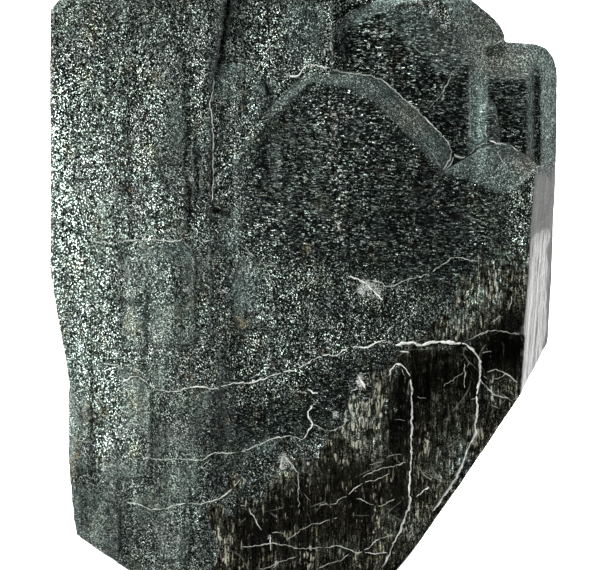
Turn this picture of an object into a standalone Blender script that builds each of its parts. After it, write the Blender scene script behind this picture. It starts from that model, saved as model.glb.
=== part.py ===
# Tantalite specimen: blocky black crystals grown together in parallel, one solid.
# The big flat faces look towards -Y, the crystals stand along +Z, and the broken foot is cut flat at z = 0.
import math

import bmesh
import bpy
from mathutils import Vector, noise

MM = 0.001

# Driving dimensions, in millimetres.
HEIGHT = 213.5
HALF_WIDTH = 92.0
HALF_DEPTH = 30.0
FRONT_Y = -29.0
BACK_Y = 29.0
ROOM = 700.0

# How far each crystal's front face stands behind FRONT_Y. A nudge keeps two faces out of one plane.
ARCH_SETBACK = -0.1
SLAB_SETBACK = 0.05
KNOB_SETBACK = 0.0
SMALL_BUD_SETBACK = 0.4
BUD_SETBACK = 1.5
RIDGE_SETBACK = 4.0
SHOULDER_SETBACK = 8.5
CROWN_SETBACK = 12.0
STEP_SETBACK = 14.5
EDGE_SETBACK = 18.5
NUDGE = 0.03

# Broken lower right corner: one step deeper at each break.
BREAK_DEPTHS = (1.7, 2.9, 5.0)

# Surface relief.
FLUTE_PITCH = 4.0
FLUTE_WIDTH = 6.4
FLUTE_LENGTH = 60.0
FLUTE_HEIGHT = 0.55
LUMP_SIZE = 22.0
LUMP_HEIGHT = 0.9
ROW_PITCH = 7.5
DEPTH_PITCH = 6.0
FLAT_LIMIT = 0.92
FOOT_BAND = 0.5
SEED = Vector((3.7, 11.2, 5.9))


def cut(bm, point, normal):
    """Cuts everything beyond a plane away and closes the cut with one flat face."""
    everything = bm.verts[:] + bm.edges[:] + bm.faces[:]
    bmesh.ops.bisect_plane(
        bm, geom=everything, dist=1e-4, plane_co=point, plane_no=normal, clear_outer=True)
    rim = [line for line in bm.edges if line.is_boundary]
    bmesh.ops.holes_fill(bm, edges=rim)


def crystal(name, outline, setback, back, bevels=(), back_bevel=(8.0, 6.0), planes=()):
    """One convex crystal: an outline in X and Z, given clockwise from the left foot, between two flat faces.

    bevels holds (edge, width, depth): the facet along that edge of the front face.
    planes holds (point, point, point): further facets through three points, facing away from the middle.
    """
    bm = bmesh.new()
    bmesh.ops.create_cube(bm, size=ROOM)
    front = FRONT_Y + setback
    middle = Vector((sum(p[0] for p in outline) / len(outline), (front + back) / 2,
                     sum(p[1] for p in outline) / len(outline)))
    cut(bm, Vector((0, front, 0)), Vector((0, -1, 0)))
    cut(bm, Vector((0, back, 0)), Vector((0, 1, 0)))
    facets = {edge: (width, depth) for edge, width, depth in bevels}
    for index, (x0, z0) in enumerate(outline):
        x1, z1 = outline[(index + 1) % len(outline)]
        outward = Vector((z0 - z1, 0, x1 - x0)).normalized()
        corner = Vector((x0, front, z0))
        cut(bm, corner, outward)
        if index in facets:
            width, depth = facets[index]
            cut(bm, corner - outward * width, outward * depth + Vector((0, -width, 0)))
        if back_bevel and z0 + z1 > 2.0:
            width, depth = back_bevel
            cut(bm, Vector((x0, back, z0)) - outward * width, outward * depth + Vector((0, width, 0)))
    for first, second, third in planes:
        point = Vector(first)
        normal = (Vector(second) - point).cross(Vector(third) - point)
        if normal.dot(point - middle) < 0:
            normal = -normal
        cut(bm, point, normal)
    return mesh_object(name, bm)


def mesh_object(name, bm):
    """Wraps a crystal's corners in their convex hull and turns it into an object in metres."""
    bmesh.ops.remove_doubles(bm, verts=bm.verts, dist=0.01)
    bmesh.ops.delete(bm, geom=bm.edges[:], context="EDGES_FACES")
    bmesh.ops.convex_hull(bm, input=bm.verts[:])
    bmesh.ops.dissolve_limit(bm, angle_limit=math.radians(0.3), verts=bm.verts, edges=bm.edges)
    bmesh.ops.recalc_face_normals(bm, faces=bm.faces)
    bmesh.ops.scale(bm, vec=Vector((MM, MM, MM)), verts=bm.verts)
    mesh = bpy.data.meshes.new(name)
    bm.to_mesh(mesh)
    bm.free()
    made = bpy.data.objects.new(name, mesh)
    bpy.context.scene.collection.objects.link(made)
    return made


def crystals():
    """The crystals of the specimen, from the foremost to those that stand behind."""
    slab = crystal(
        "slab_upper",
        [(-88.9, 60), (-88.9, 203), (-84.5, 208.5), (-50, 211), (-31.5, 211.4), (-31.5, 60)],
        SLAB_SETBACK, 24.0, bevels=[(0, 1.5, 1.5), (1, 3, 3), (2, 2.5, 3), (3, 2.5, 3), (4, 1.2, 1.5)],
        planes=[((-88.9, 0, 113), (-82, 0, 75), (-88.9, 9, 113)),
                ((-90, -20, 211.5), (-30, -20, 211.5), (-60, 24, 199)),
                ((-88.9, 4, 60), (-88.9, 4, 203), (-83, 24, 130))])
    slab_lip = crystal(
        "slab_lip",
        [(-40, 178), (-40, 211.2), (-26, 211.4), (-31.5, 178)],
        SLAB_SETBACK + NUDGE, 16.0, back_bevel=None, bevels=[(1, 2.5, 3), (2, 1.2, 1.5)],
        planes=[((-90, -20, 211.4), (-30, -20, 211.4), (-60, 24, 198.9))])
    slab_foot = crystal(
        "slab_foot",
        [(-50, 0), (-62, 7), (-79.5, 19), (-82, 45), (-82, 90), (-29, 90), (-29, 0)],
        SLAB_SETBACK + 2 * NUDGE, 22.0, bevels=[(0, 3, 6), (1, 4, 5), (2, 1.5, 1.5), (3, 1.5, 1.5)],
        planes=[((-82, 10, 45), (-82, 10, 90), (-76, 22, 60))])
    arch = crystal(
        "arch",
        [(-24.5, 0), (-24.5, 156), (-18, 166.5), (2.5, 184.2), (23.8, 181), (30, 178.3), (43.5, 166),
         (50.5, 158.5), (52.5, 152), (52.5, 39), (24, 0)],
        ARCH_SETBACK, 18.0,
        bevels=[(0, 1.5, 1), (1, 4.5, 4), (2, 5, 6), (3, 6, 8), (4, 8, 9), (5, 9, 9), (6, 9.5, 9), (7, 6, 9)])
    arch_foot = crystal(
        "arch_foot",
        [(-33.5, 0), (-33.5, 112), (-30, 121), (-20, 124), (-20, 0)],
        ARCH_SETBACK + NUDGE, 17.0, back_bevel=None, bevels=[(1, 1.5, 1), (2, 2, 1)])
    prism_face = ((81.8, FRONT_Y + 1, 147), (75.6, FRONT_Y + 1, 71), (89.6, FRONT_Y + 35, 119))
    knob = crystal(
        "knob",
        [(23.5, 0), (40, 141), (49, 146.3), (51.5, 149.8), (65, 157.6), (72, 156.8), (77, 154), (84.5, 148),
         (91.4, 141), (90.2, 119), (89.8, 97), (88.2, 85.5), (77.2, 69.2), (58.6, 41.4), (38.4, 13), (27.4, 0)],
        KNOB_SETBACK, 25.0,
        planes=[((49, FRONT_Y, 146.3), (70.5, FRONT_Y, 139.5), (62.8, FRONT_Y + 9, 156.6)),
                ((72.5, FRONT_Y, 139.5), (67.6, FRONT_Y + 8.3, 155), (84, FRONT_Y + 8, 147.5)),
                prism_face])
    knob_corner = crystal(
        "knob_corner",
        [(66, 100), (69, 132), (73, 140.5), (81.6, 147.2), (84, 144), (84, 100)],
        KNOB_SETBACK + NUDGE, 0.0, back_bevel=None,
        planes=[((81.7, FRONT_Y + 1, 147), (75.5, FRONT_Y + 1, 71), (89.5, FRONT_Y + 35, 119))])
    shoulder = crystal(
        "shoulder",
        [(5.2, 140), (5.2, 186), (7.8, 196.1), (12, 200), (18, 204.3), (30, 209.5), (50, 212),
         (58.5, 206), (65.1, 188), (65.1, 140)],
        SHOULDER_SETBACK, 22.0,
        bevels=[(1, 3, 3), (2, 4, 3), (3, 5, 4), (4, 5, 4), (5, 4, 4), (6, 5, 5), (7, 7, 6), (8, 6.6, 5)])
    crown = crystal(
        "crown",
        [(8, 180), (8, HEIGHT - 2), (22, HEIGHT), (48, HEIGHT), (60.1, 208.1), (67.6, 202), (70.1, 199.2),
         (71.6, 196), (71.9, 192.8), (56, 188.8)],
        CROWN_SETBACK, 19.0,
        bevels=[(3, 9, 6), (4, 11, 7), (5, 12, 8), (6, 12, 8), (7, 10, 7)])
    step = crystal(
        "step",
        [(55, 130), (55, 192.5), (81.3, 192.2), (81.3, 130)],
        STEP_SETBACK, 23.0,
        bevels=[(1, 12.2, 8), (2, 1.9, 2.5)])
    edge = crystal(
        "edge",
        [(70, 128), (70, 193.6), (83.4, 192.9), (87, 191.5), (89.6, 188.3), (91, 184), (91.2, 181),
         (90.9, 136), (86, 128)],
        EDGE_SETBACK, 22.0,
        bevels=[(1, 8, 5), (2, 7.5, 6), (3, 7, 7), (4, 6.8, 9), (5, 6.5, 10), (6, 6.4, 10)],
        planes=[((81.6, FRONT_Y + 1, 147), (75.4, FRONT_Y + 1, 71), (89.4, FRONT_Y + 35, 119))])
    ridge = crystal(
        "ridge",
        [(-40, 120), (-40, 211.5), (-22, 212.8), (10, 211.5), (12, 120)],
        RIDGE_SETBACK, 20.0,
        bevels=[(1, 3, 3), (2, 3, 3)],
        planes=[((-40, -14, 213), (10, -14, 212.5), (-10, 20, 205))])
    bud = crystal(
        "bud",
        [(-34, 118), (-34, 176), (-28.5, 184.8), (-20, 185.5), (-12, 178), (-12, 118)],
        BUD_SETBACK, 10.0,
        bevels=[(1, 3, 2), (2, 5, 3), (3, 5, 3), (4, 3, 3)])
    small_bud = crystal(
        "small_bud",
        [(-32, 118), (-32, 144), (-29.5, 147), (-26, 147.5), (-23.5, 145), (-23.5, 118)],
        SMALL_BUD_SETBACK, 0.0, back_bevel=None,
        bevels=[(1, 1.5, 1.2), (2, 1.5, 1.2), (3, 1.5, 1.2)])
    return [slab, slab_lip, slab_foot, arch, arch_foot, knob, knob_corner, shoulder, crown, step, edge, ridge,
            bud, small_bud] + back_crystals()


def back_crystals():
    """Crystals that stand out behind: three tall ones side by side and a short broken one."""
    middle = crystal(
        "back_middle",
        [(-32, 0), (-42, 60), (-38, 176), (-24, 193), (6, 197), (22, 184), (27, 150), (22, 0)],
        10.0, BACK_Y, back_bevel=(9.0, 7.0),
        planes=[((-42, 24, 60), (27, 29.5, 60), (-10, 27, 190))])
    right = crystal(
        "back_right",
        [(20, 10), (18, 160), (30, 182), (52, 186), (68, 170), (74, 120), (70, 72), (38, 22)],
        10.0, BACK_Y - 2.5, back_bevel=(6.0, 8.0))
    left = crystal(
        "back_left",
        [(-50, 0), (-72, 30), (-76, 96), (-70, 134), (-58, 150), (-38, 146), (-30, 0)],
        10.0, BACK_Y - 1.0, back_bevel=(7.0, 6.0),
        planes=[((-76, 22, 60), (-30, 29, 60), (-50, 25, 150))])
    stub = crystal(
        "back_stub",
        [(-20, 0), (-24, 52), (-10, 74), (14, 66), (22, 40), (20, 0)],
        10.0, BACK_Y + 0.6, back_bevel=(5.0, 3.0))
    return [middle, right, left, stub]


def breaks():
    """Wedges that are cut from the lower right of the front, where the skin broke away in steps."""
    first, second, third = BREAK_DEPTHS
    outer = crystal(
        "break_outer",
        [(-31, -10), (-31, 27), (-20, 40), (0, 52), (32, 86), (79, 124), (120, 124), (120, -10)],
        -20.0, FRONT_Y + first, back_bevel=None)
    inner = crystal(
        "break_inner",
        [(38, -10), (38, 78), (42, 86.5), (56, 86.5), (61, 82), (100, 82), (100, -10)],
        -20.0, FRONT_Y + second, back_bevel=None)
    lowest = crystal(
        "break_lowest",
        [(46, -10), (61.5, 58), (61.5, 76), (66, 84), (100, 84), (100, -10)],
        -20.0, FRONT_Y + third, back_bevel=None)
    return [outer, inner, lowest]


def boolean(target, tools, operation):
    """Joins or cuts a group of closed shapes with one exact Boolean and bakes the result."""
    group = bpy.data.collections.new(operation.lower())
    bpy.context.scene.collection.children.link(group)
    for tool in tools:
        bpy.context.scene.collection.objects.unlink(tool)
        group.objects.link(tool)
    step = target.modifiers.new(operation.lower(), "BOOLEAN")
    step.operation = operation
    step.operand_type = "COLLECTION"
    step.collection = group
    step.solver = "EXACT"
    depsgraph = bpy.context.evaluated_depsgraph_get()
    mesh = bpy.data.meshes.new_from_object(target.evaluated_get(depsgraph))
    target.modifiers.clear()
    target.data = mesh
    for tool in tools:
        bpy.data.objects.remove(tool)
    bpy.data.collections.remove(group)


def rough_faces(bm, axis):
    """Faces that look along one axis: the broad, worn ones, and not the smooth facets between them."""
    return [face for face in bm.faces if abs(face.normal[axis]) > FLAT_LIMIT]


def slice_faces(bm, axis, along, pitch, low, high):
    """Cuts the broad faces that look along one axis into strips across another."""
    count = int((high - low) / pitch)
    for index in range(1, count):
        place = low + (high - low) * index / count
        faces = rough_faces(bm, axis)
        geometry = list({vert for face in faces for vert in face.verts})
        geometry += list({line for face in faces for line in face.edges}) + faces
        point = Vector((0, 0, 0))
        point[along] = place
        normal = Vector((0, 0, 0))
        normal[along] = 1
        bmesh.ops.bisect_plane(bm, geom=geometry, dist=0.05, plane_co=point, plane_no=normal)


def relief(place):
    """Height of the worn surface: upright flutes over broad lumps."""
    lump = noise.noise(place / LUMP_SIZE + SEED) * LUMP_HEIGHT
    across = Vector((place.x / FLUTE_WIDTH, place.y / FLUTE_WIDTH, place.z / FLUTE_LENGTH))
    return lump + noise.noise(across + SEED * 2) * FLUTE_HEIGHT


def main_axis(vert):
    """The axis that the faces round a point look along most."""
    facing = sum((face.normal * face.calc_area() for face in vert.link_faces), Vector((0, 0, 0)))
    axis = max(range(3), key=lambda index: abs(facing[index]))
    along = Vector((0, 0, 0))
    along[axis] = math.copysign(1, facing[axis])
    return along


def wear(bm):
    """Moves the broad faces' points in and out, and leaves the smooth facets and the foot as they are."""
    moves = {}
    for vert in bm.verts:
        if vert.co.z < FOOT_BAND:
            continue
        if all(max(abs(part) for part in face.normal) > FLAT_LIMIT for face in vert.link_faces):
            moves[vert] = main_axis(vert) * relief(vert.co)
    for vert, move in moves.items():
        vert.co += move


def specimen():
    """Joins the crystals, breaks the lower right corner, and wears the faces."""
    solids = crystals()
    body = solids[0]
    boolean(body, solids[1:], "UNION")
    boolean(body, breaks(), "DIFFERENCE")
    body.name = "tantalite_crystal"
    bm = bmesh.new()
    bm.from_mesh(body.data)
    bmesh.ops.scale(bm, vec=Vector((1 / MM, 1 / MM, 1 / MM)), verts=bm.verts)
    bmesh.ops.remove_doubles(bm, verts=bm.verts, dist=0.02)
    bmesh.ops.dissolve_limit(bm, angle_limit=math.radians(0.5), verts=bm.verts, edges=bm.edges)
    for axis, along, pitch, low, high in (
            (1, 0, FLUTE_PITCH, -HALF_WIDTH, HALF_WIDTH), (1, 2, ROW_PITCH, 0, HEIGHT),
            (0, 1, DEPTH_PITCH, -HALF_DEPTH, HALF_DEPTH), (0, 2, ROW_PITCH, 0, HEIGHT),
            (2, 0, DEPTH_PITCH, -HALF_WIDTH, HALF_WIDTH), (2, 1, DEPTH_PITCH, -HALF_DEPTH, HALF_DEPTH)):
        slice_faces(bm, axis, along, pitch, low, high)
    bmesh.ops.triangulate(bm, faces=bm.faces)
    wear(bm)
    stand_on_origin(bm)
    bmesh.ops.scale(bm, vec=Vector((MM, MM, MM)), verts=bm.verts)
    bm.to_mesh(body.data)
    bm.free()
    return body


def stand_on_origin(bm):
    """Centres the solid's box over the origin, with its foot on z = 0."""
    places = [vert.co for vert in bm.verts]
    middle_x = (min(p.x for p in places) + max(p.x for p in places)) / 2
    middle_y = (min(p.y for p in places) + max(p.y for p in places)) / 2
    lowest = min(p.z for p in places)
    bmesh.ops.translate(bm, vec=Vector((-middle_x, -middle_y, -lowest)), verts=bm.verts)


def stone():
    """Black, half-metallic mineral with a dull skin."""
    material = bpy.data.materials.new("tantalite")
    material.use_nodes = True
    surface = material.node_tree.nodes["Principled BSDF"]
    surface.inputs["Base Color"].default_value = (0.03, 0.036, 0.035, 1)
    surface.inputs["Roughness"].default_value = 0.42
    surface.inputs["Metallic"].default_value = 0.35
    return material


for old in list(bpy.data.objects):
    bpy.data.objects.remove(old)
crystal_body = specimen()
crystal_body.data.materials.clear()
crystal_body.data.materials.append(stone())
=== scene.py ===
import itertools
import math
import time

import bpy
import numpy as np
from mathutils import Matrix, Vector
from mathutils.bvhtree import BVHTree


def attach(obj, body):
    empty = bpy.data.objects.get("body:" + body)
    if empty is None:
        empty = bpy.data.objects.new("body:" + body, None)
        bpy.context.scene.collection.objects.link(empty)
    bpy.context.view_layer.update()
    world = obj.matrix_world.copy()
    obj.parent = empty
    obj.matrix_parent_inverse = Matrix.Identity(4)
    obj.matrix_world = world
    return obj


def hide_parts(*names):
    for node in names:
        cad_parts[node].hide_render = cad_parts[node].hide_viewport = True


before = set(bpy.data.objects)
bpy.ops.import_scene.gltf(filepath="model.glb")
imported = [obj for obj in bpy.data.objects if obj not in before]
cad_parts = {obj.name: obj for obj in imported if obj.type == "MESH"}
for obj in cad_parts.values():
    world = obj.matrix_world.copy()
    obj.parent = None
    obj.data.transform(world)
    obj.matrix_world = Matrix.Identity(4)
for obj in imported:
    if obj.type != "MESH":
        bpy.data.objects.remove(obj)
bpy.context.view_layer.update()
started = time.time()
mm = 0.001


def report(stage):
    print(f"{stage}: {time.time() - started:.0f} s")


report("frame loaded")

# The specimen's own measures, in millimetres. The broad faces look towards -Y.
specimen = {
    "front": -29.0,        # Y of the foremost flat face
    "back": 29.0,
    "height": 213.5,
    "seat": (-0.94, -0.02, 0.002),   # moves the specimen over the origin, within the solid's box
    "block": 700.0,        # side of the block that each crystal is cut from
    "voxel": 0.5,          # spacing of the finished surface's points
    "backVoxel": 0.8,
    "coarseVoxel": 1.0,    # for the skin that tells outer walls from hidden ones
    "weld": 0.02,          # points nearer than this are one point
}

# The front is laid out on a sheet of squares: u counts to the right and v down from the top left corner.
sheet = {
    "square": 0.35,        # millimetres
    "zeroU": 303.0,        # u of X = 0
    "zeroV": 590.0,        # v of Z = 0
    "middleU": 299.5,
    "middleV": 285.0,
    "width": 599,
    "reach": 1200.0,       # from the camera to the foremost face
}
eye = np.array([(sheet["middleU"] - sheet["zeroU"]) * sheet["square"],
                specimen["front"] - sheet["reach"],
                (sheet["zeroV"] - sheet["middleV"]) * sheet["square"]])


# Where points in millimetres stand on the sheet.
def toSheet(points):
    scale = sheet["reach"] / (points[:, 1] - eye[1]) / sheet["square"]
    return (sheet["middleU"] + (points[:, 0] - eye[0]) * scale,
            sheet["middleV"] - (points[:, 2] - eye[2]) * scale)


def smooth(value, low, high):
    part = np.clip((value - low) / (high - low), 0, 1)
    return part * part * (3 - 2 * part)


# Large primes and bit shifts that scramble a cell's number.
scramble = {
    "seed": 97003,
    "cells": (73856093, 19349663, 83492791),
    "rounds": ((15, 2246822519), (13, 3266489917)),
    "lastShift": 16,
    "wholeMask": 0xffffffff,
    "resultMask": 0xffffff,
}


# One random number from 0 to 1 for each cell of a grid.
def hashed(cells, seed):
    mixed = np.full(cells[0].shape, seed * scramble["seed"], np.int64)
    for cell, prime in zip(cells, scramble["cells"]):
        mixed ^= cell * prime
    mask = scramble["wholeMask"]
    for shift, prime in scramble["rounds"]:
        mixed = ((mixed ^ (mixed >> shift)) & mask) * prime & mask
    mixed = (mixed ^ (mixed >> scramble["lastShift"])) & scramble["resultMask"]
    return mixed / scramble["resultMask"]


# Soft random field from -1 to 1. The columns are places in millimetres, and size is a lump's width
# along each.
def noise(columns, size, seed):
    places = [column / width for column, width in zip(columns, size)]
    cells = [np.floor(place).astype(np.int64) for place in places]
    parts = [smooth(place - cell, 0, 1) for place, cell in zip(places, cells)]
    total = np.zeros(places[0].shape)
    for corner in itertools.product((0, 1), repeat=len(places)):
        weight = 1
        for part, step in zip(parts, corner):
            weight = weight * (part if step else 1 - part)
        total += weight * hashed([cell + step for cell, step in zip(cells, corner)], seed)
    return total * 2 - 1


# Layers of noise laid over each other: (lump size, seed, height).
def layers(columns, rows):
    return sum(noise(columns, size, seed) * height for size, seed, height in rows)


# Random height of the nearest of many scattered plates, from 0 to 1.
def plates(columns, size, seed):
    places = [column / width for column, width in zip(columns, size)]
    cells = [np.floor(place).astype(np.int64) for place in places]
    nearestGap = np.full(places[0].shape, 99.0)
    height = np.zeros(places[0].shape)
    for corner in itertools.product((-1, 0, 1), repeat=2):
        spots = [cell + step for cell, step in zip(cells, corner)]
        gap = sum((place - spot - hashed(spots, seed + index)) ** 2
                  for index, (place, spot) in enumerate(zip(places, spots)))
        closer = gap < nearestGap
        nearestGap = np.where(closer, gap, nearestGap)
        height = np.where(closer, hashed(spots, seed + 5), height)
    return height


# Distance in squares from each place to a line of points.
def nearest(u, v, line, closed=False):
    best = np.full(u.shape, 1e6)
    ends = line[1:] + line[:1] if closed else line[1:]
    for (u0, v0), (u1, v1) in zip(line, ends):
        du, dv = u1 - u0, v1 - v0
        along = np.clip(((u - u0) * du + (v - v0) * dv) / max(du * du + dv * dv, 1e-6), 0, 1)
        best = np.minimum(best, np.hypot(u - u0 - along * du, v - v0 - along * dv))
    return best


# Distance in squares inside an outline, and minus the distance outside it.
def depthInside(u, v, outline):
    odd = np.zeros(u.shape, bool)
    for (u0, v0), (u1, v1) in zip(outline, outline[1:] + outline[:1]):
        if v0 != v1:
            odd ^= ((v0 > v) != (v1 > v)) & (u < u0 + (v - v0) * (u1 - u0) / (v1 - v0))
    gap = nearest(u, v, outline, closed=True)
    return np.where(odd, gap, -gap)


# Works out a field on the part of the sheet near some points, and leaves it at an outer value elsewhere.
def nearField(u, v, points, margin, outer, work):
    us, vs = [p[0] for p in points], [p[1] for p in points]
    close = (u > min(us) - margin) & (u < max(us) + margin) & (v > min(vs) - margin) & (v < max(vs) + margin)
    values = np.full(u.shape, float(outer))
    if close.any():
        values[close] = work(u[close], v[close])
    return values


def zone(u, v, outline, soft):
    return nearField(u, v, outline, soft + 1, 0,
                     lambda a, b: smooth(depthInside(a, b, outline), -soft, soft))


def stroke(u, v, line, width):
    return nearField(u, v, line, width + 1, 0, lambda a, b: smooth(-nearest(a, b, line), -width, 0))


def blot(u, v, place, size):
    return np.exp(-((u - place[0]) / size[0]) ** 2 - ((v - place[1]) / size[1]) ** 2)


# Soft round spots added up: (place, size, strength).
def blots(u, v, spots):
    return sum(blot(u, v, place, size) * strength for place, size, strength in spots)


# The strongest of some soft-edged areas at each place: (outline, strength).
def zones(u, v, areas, soft):
    return np.max([zone(u, v, outline, soft) * strength for outline, strength in areas], axis=0)


def deselectAll():
    if bpy.context.object and bpy.context.object.mode != "OBJECT":
        bpy.ops.object.mode_set(mode="OBJECT")
    bpy.ops.object.select_all(action="DESELECT")


def cutFacet(point, normal):
    bpy.ops.mesh.select_all(action="SELECT")
    bpy.ops.mesh.bisect(plane_co=[part * mm for part in point], plane_no=normal.normalized(), use_fill=True,
                        clear_outer=True, threshold=1e-7)


# One crystal, cut facet by facet from a block. The outline runs clockwise from the left foot, in X and Z.
# bevels holds (edge, width, sink) of the front's facets, and planes three points on each further facet.
def growCrystal(outline, setback, back, bevels=(), backBevel=(8.0, 6.0), planes=()):
    deselectAll()
    front = specimen["front"] + setback
    depth = back - front
    bpy.ops.mesh.primitive_cube_add(size=1, location=(0, (front + back) / 2 * mm, 0),
                                    scale=(specimen["block"] * mm, depth * mm, specimen["block"] * mm))
    bpy.ops.object.transform_apply(location=True, rotation=True, scale=True)
    bpy.ops.object.mode_set(mode="EDIT")
    facets = {edge: (width, sink) for edge, width, sink in bevels}
    middle = Vector((sum(x for x, z in outline) / len(outline), (front + back) / 2,
                     sum(z for x, z in outline) / len(outline)))
    for index, (x0, z0) in enumerate(outline):
        x1, z1 = outline[(index + 1) % len(outline)]
        outward = Vector((z0 - z1, 0, x1 - x0)).normalized()
        corner = Vector((x0, front, z0))
        cutFacet(corner, outward)
        if index in facets:
            width, sink = facets[index]
            cutFacet(corner - outward * width, outward * sink + Vector((0, -width, 0)))
        if backBevel and z0 + z1 > 2:
            width, sink = backBevel
            cutFacet(Vector((x0, back, z0)) - outward * width, outward * sink + Vector((0, width, 0)))
    for first, second, third in planes:
        point = Vector(first)
        normal = (Vector(second) - point).cross(Vector(third) - point)
        if normal.dot(point - middle) < 0:
            normal = -normal
        cutFacet(point, normal)
    bpy.ops.mesh.select_all(action="SELECT")
    bpy.ops.mesh.remove_doubles(threshold=specimen["weld"] * mm)
    bpy.ops.mesh.convex_hull(use_existing_faces=False, join_triangles=False)
    bpy.ops.object.mode_set(mode="OBJECT")
    return bpy.context.object


def applyModifier(piece, name, kind, **settings):
    deselectAll()
    piece.select_set(True)
    bpy.context.view_layer.objects.active = piece
    modifier = piece.modifiers.new(name, kind)
    for setting, value in settings.items():
        setattr(modifier, setting, value)
    bpy.ops.object.modifier_apply(modifier=name)


# Joins crystals into one closed skin of evenly spaced points.
def fuse(name, crystals, voxel):
    deselectAll()
    for crystal in crystals:
        crystal.select_set(True)
    bpy.context.view_layer.objects.active = crystals[0]
    if len(crystals) > 1:
        bpy.ops.object.join()
    piece = bpy.context.object
    piece.name = name
    piece.data.name = name
    applyModifier(piece, "skin", "REMESH", mode="VOXEL", voxel_size=voxel * mm)
    return piece


front = specimen["front"]
back = specimen["back"]
height = specimen["height"]

slabTop = ((-90, -20, 211.5), (-30, -20, 211.5), (-60, 24, 199))
rightFace = ((81.8, front + 1, 147), (75.6, front + 1, 71), (89.6, front + 35, 119))
leftSlab = [
    dict(outline=[(-88.9, 60), (-88.9, 203), (-84.5, 208.5), (-50, 211), (-31.5, 211.4), (-31.5, 60)],
         setback=0.0, back=24.0,
         bevels=[(0, 1.5, 1.5), (1, 3, 3), (2, 2.5, 3), (3, 2.5, 3), (4, 1.2, 1.5)],
         planes=[((-88.9, 0, 113), (-82, 0, 75), (-88.9, 9, 113)),
                 slabTop,
                 ((-88.9, 4, 60), (-88.9, 4, 203), (-83, 24, 130))]),
    dict(outline=[(-40, 178), (-40, 211.2), (-26, 211.4), (-31.5, 178)],
         setback=0.0, back=16.0, backBevel=None, bevels=[(1, 2.5, 3), (2, 1.2, 1.5)],
         planes=[slabTop]),
    dict(outline=[(-50, 0), (-62, 7), (-79.5, 19), (-82, 45), (-82, 90), (-29, 90), (-29, 0)],
         setback=0.0, back=22.0, bevels=[(0, 3, 6), (1, 4, 5), (2, 1.5, 1.5), (3, 1.5, 1.5)],
         planes=[((-82, 10, 45), (-82, 10, 90), (-76, 22, 60))]),
]
archCrystal = [
    dict(outline=[(-24.5, 0), (-24.5, 156), (-18, 166.5), (2.5, 184.2), (23.8, 181), (30, 178.3),
                  (43.5, 166), (50.5, 158.5), (52.5, 152), (52.5, 39), (24, 0)],
         setback=-0.1, back=18.0,
         bevels=[(0, 1.5, 1), (1, 4.5, 4), (2, 5, 6), (3, 6, 8), (4, 8, 9), (5, 9, 9), (6, 9.5, 9), (7, 6, 9),
                 (8, 8, 0.9), (9, 8, 0.9)]),
    dict(outline=[(-33.5, 0), (-33.5, 112), (-30, 121), (-20, 124), (-20, 0)],
         setback=-0.1, back=18.0, backBevel=None, bevels=[(0, 8, 0.9), (1, 1.5, 1), (2, 2, 1)]),
]
rightCrystal = [
    dict(outline=[(23.5, 0), (40, 141), (49, 146.3), (51.5, 149.8), (65, 157.6), (72, 156.8), (77, 154),
                  (84.5, 148), (91.4, 141), (90.2, 119), (89.8, 97), (88.2, 85.5), (77.2, 69.2), (58.6, 41.4),
                  (38.4, 13), (27.4, 0)],
         setback=0.0, back=25.0,
         planes=[((49, front, 146.3), (70.5, front, 139.5), (62.8, front + 9, 156.6)),
                 ((72.5, front, 139.5), (67.6, front + 8.3, 155), (84, front + 8, 147.5)),
                 rightFace]),
    dict(outline=[(66, 100), (69, 132), (73, 140.5), (81.6, 147.2), (84, 144), (84, 100)],
         setback=0.0, back=0.0, backBevel=None,
         planes=[rightFace]),
]
steppedCrystals = [
    dict(outline=[(5.2, 140), (5.2, 186), (7.8, 196.1), (12, 200), (18, 204.3), (30, 209.5), (50, 212),
                  (58.5, 206), (65.1, 188), (65.1, 140)],
         setback=8.5, back=22.0,
         bevels=[(1, 3, 3), (2, 4, 3), (3, 5, 4), (4, 5, 4), (5, 4, 4), (6, 5, 5), (7, 7, 6), (8, 6.6, 5)]),
    dict(outline=[(8, 180), (8, height - 2), (22, height), (48, height), (60.1, 208.1), (67.6, 202),
                  (70.1, 199.2), (71.6, 196), (71.9, 192.8), (56, 188.8)],
         setback=12.0, back=19.0, bevels=[(3, 9, 6), (4, 11, 7), (5, 12, 8), (6, 12, 8), (7, 10, 7)]),
    dict(outline=[(55, 130), (55, 192.5), (81.3, 192.2), (81.3, 130)],
         setback=14.5, back=23.0, bevels=[(1, 12.2, 8), (2, 1.9, 2.5)]),
    dict(outline=[(70, 128), (70, 193.6), (83.4, 192.9), (87, 191.5), (89.6, 188.3), (91, 184),
                  (91.2, 181), (90.9, 136), (86, 128)],
         setback=18.5, back=22.0,
         bevels=[(1, 8, 5), (2, 7.5, 6), (3, 7, 7), (4, 6.8, 9), (5, 6.5, 10), (6, 6.4, 10)],
         planes=[((81.6, front + 1, 147), (75.4, front + 1, 71), (89.4, front + 35, 119))]),
]
middleRidge = [
    dict(outline=[(-40, 120), (-40, 211.5), (-22, 212.8), (10, 211.5), (12, 120)],
         setback=4.0, back=20.0, bevels=[(1, 3, 3), (2, 3, 3)],
         planes=[((-40, -14, 213), (10, -14, 212.5), (-10, 20, 205))]),
    dict(outline=[(-34, 118), (-34, 176), (-28.5, 184.8), (-20, 185.5), (-12, 178), (-12, 118)],
         setback=1.5, back=10.0, bevels=[(1, 3, 2), (2, 5, 3), (3, 5, 3), (4, 3, 3)]),
    dict(outline=[(-32, 118), (-32, 144), (-29.5, 147), (-26, 147.5), (-23.5, 145), (-23.5, 118)],
         setback=0.4, back=0.0, backBevel=None, bevels=[(1, 1.5, 1.2), (2, 1.5, 1.2), (3, 1.5, 1.2)]),
]
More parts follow.
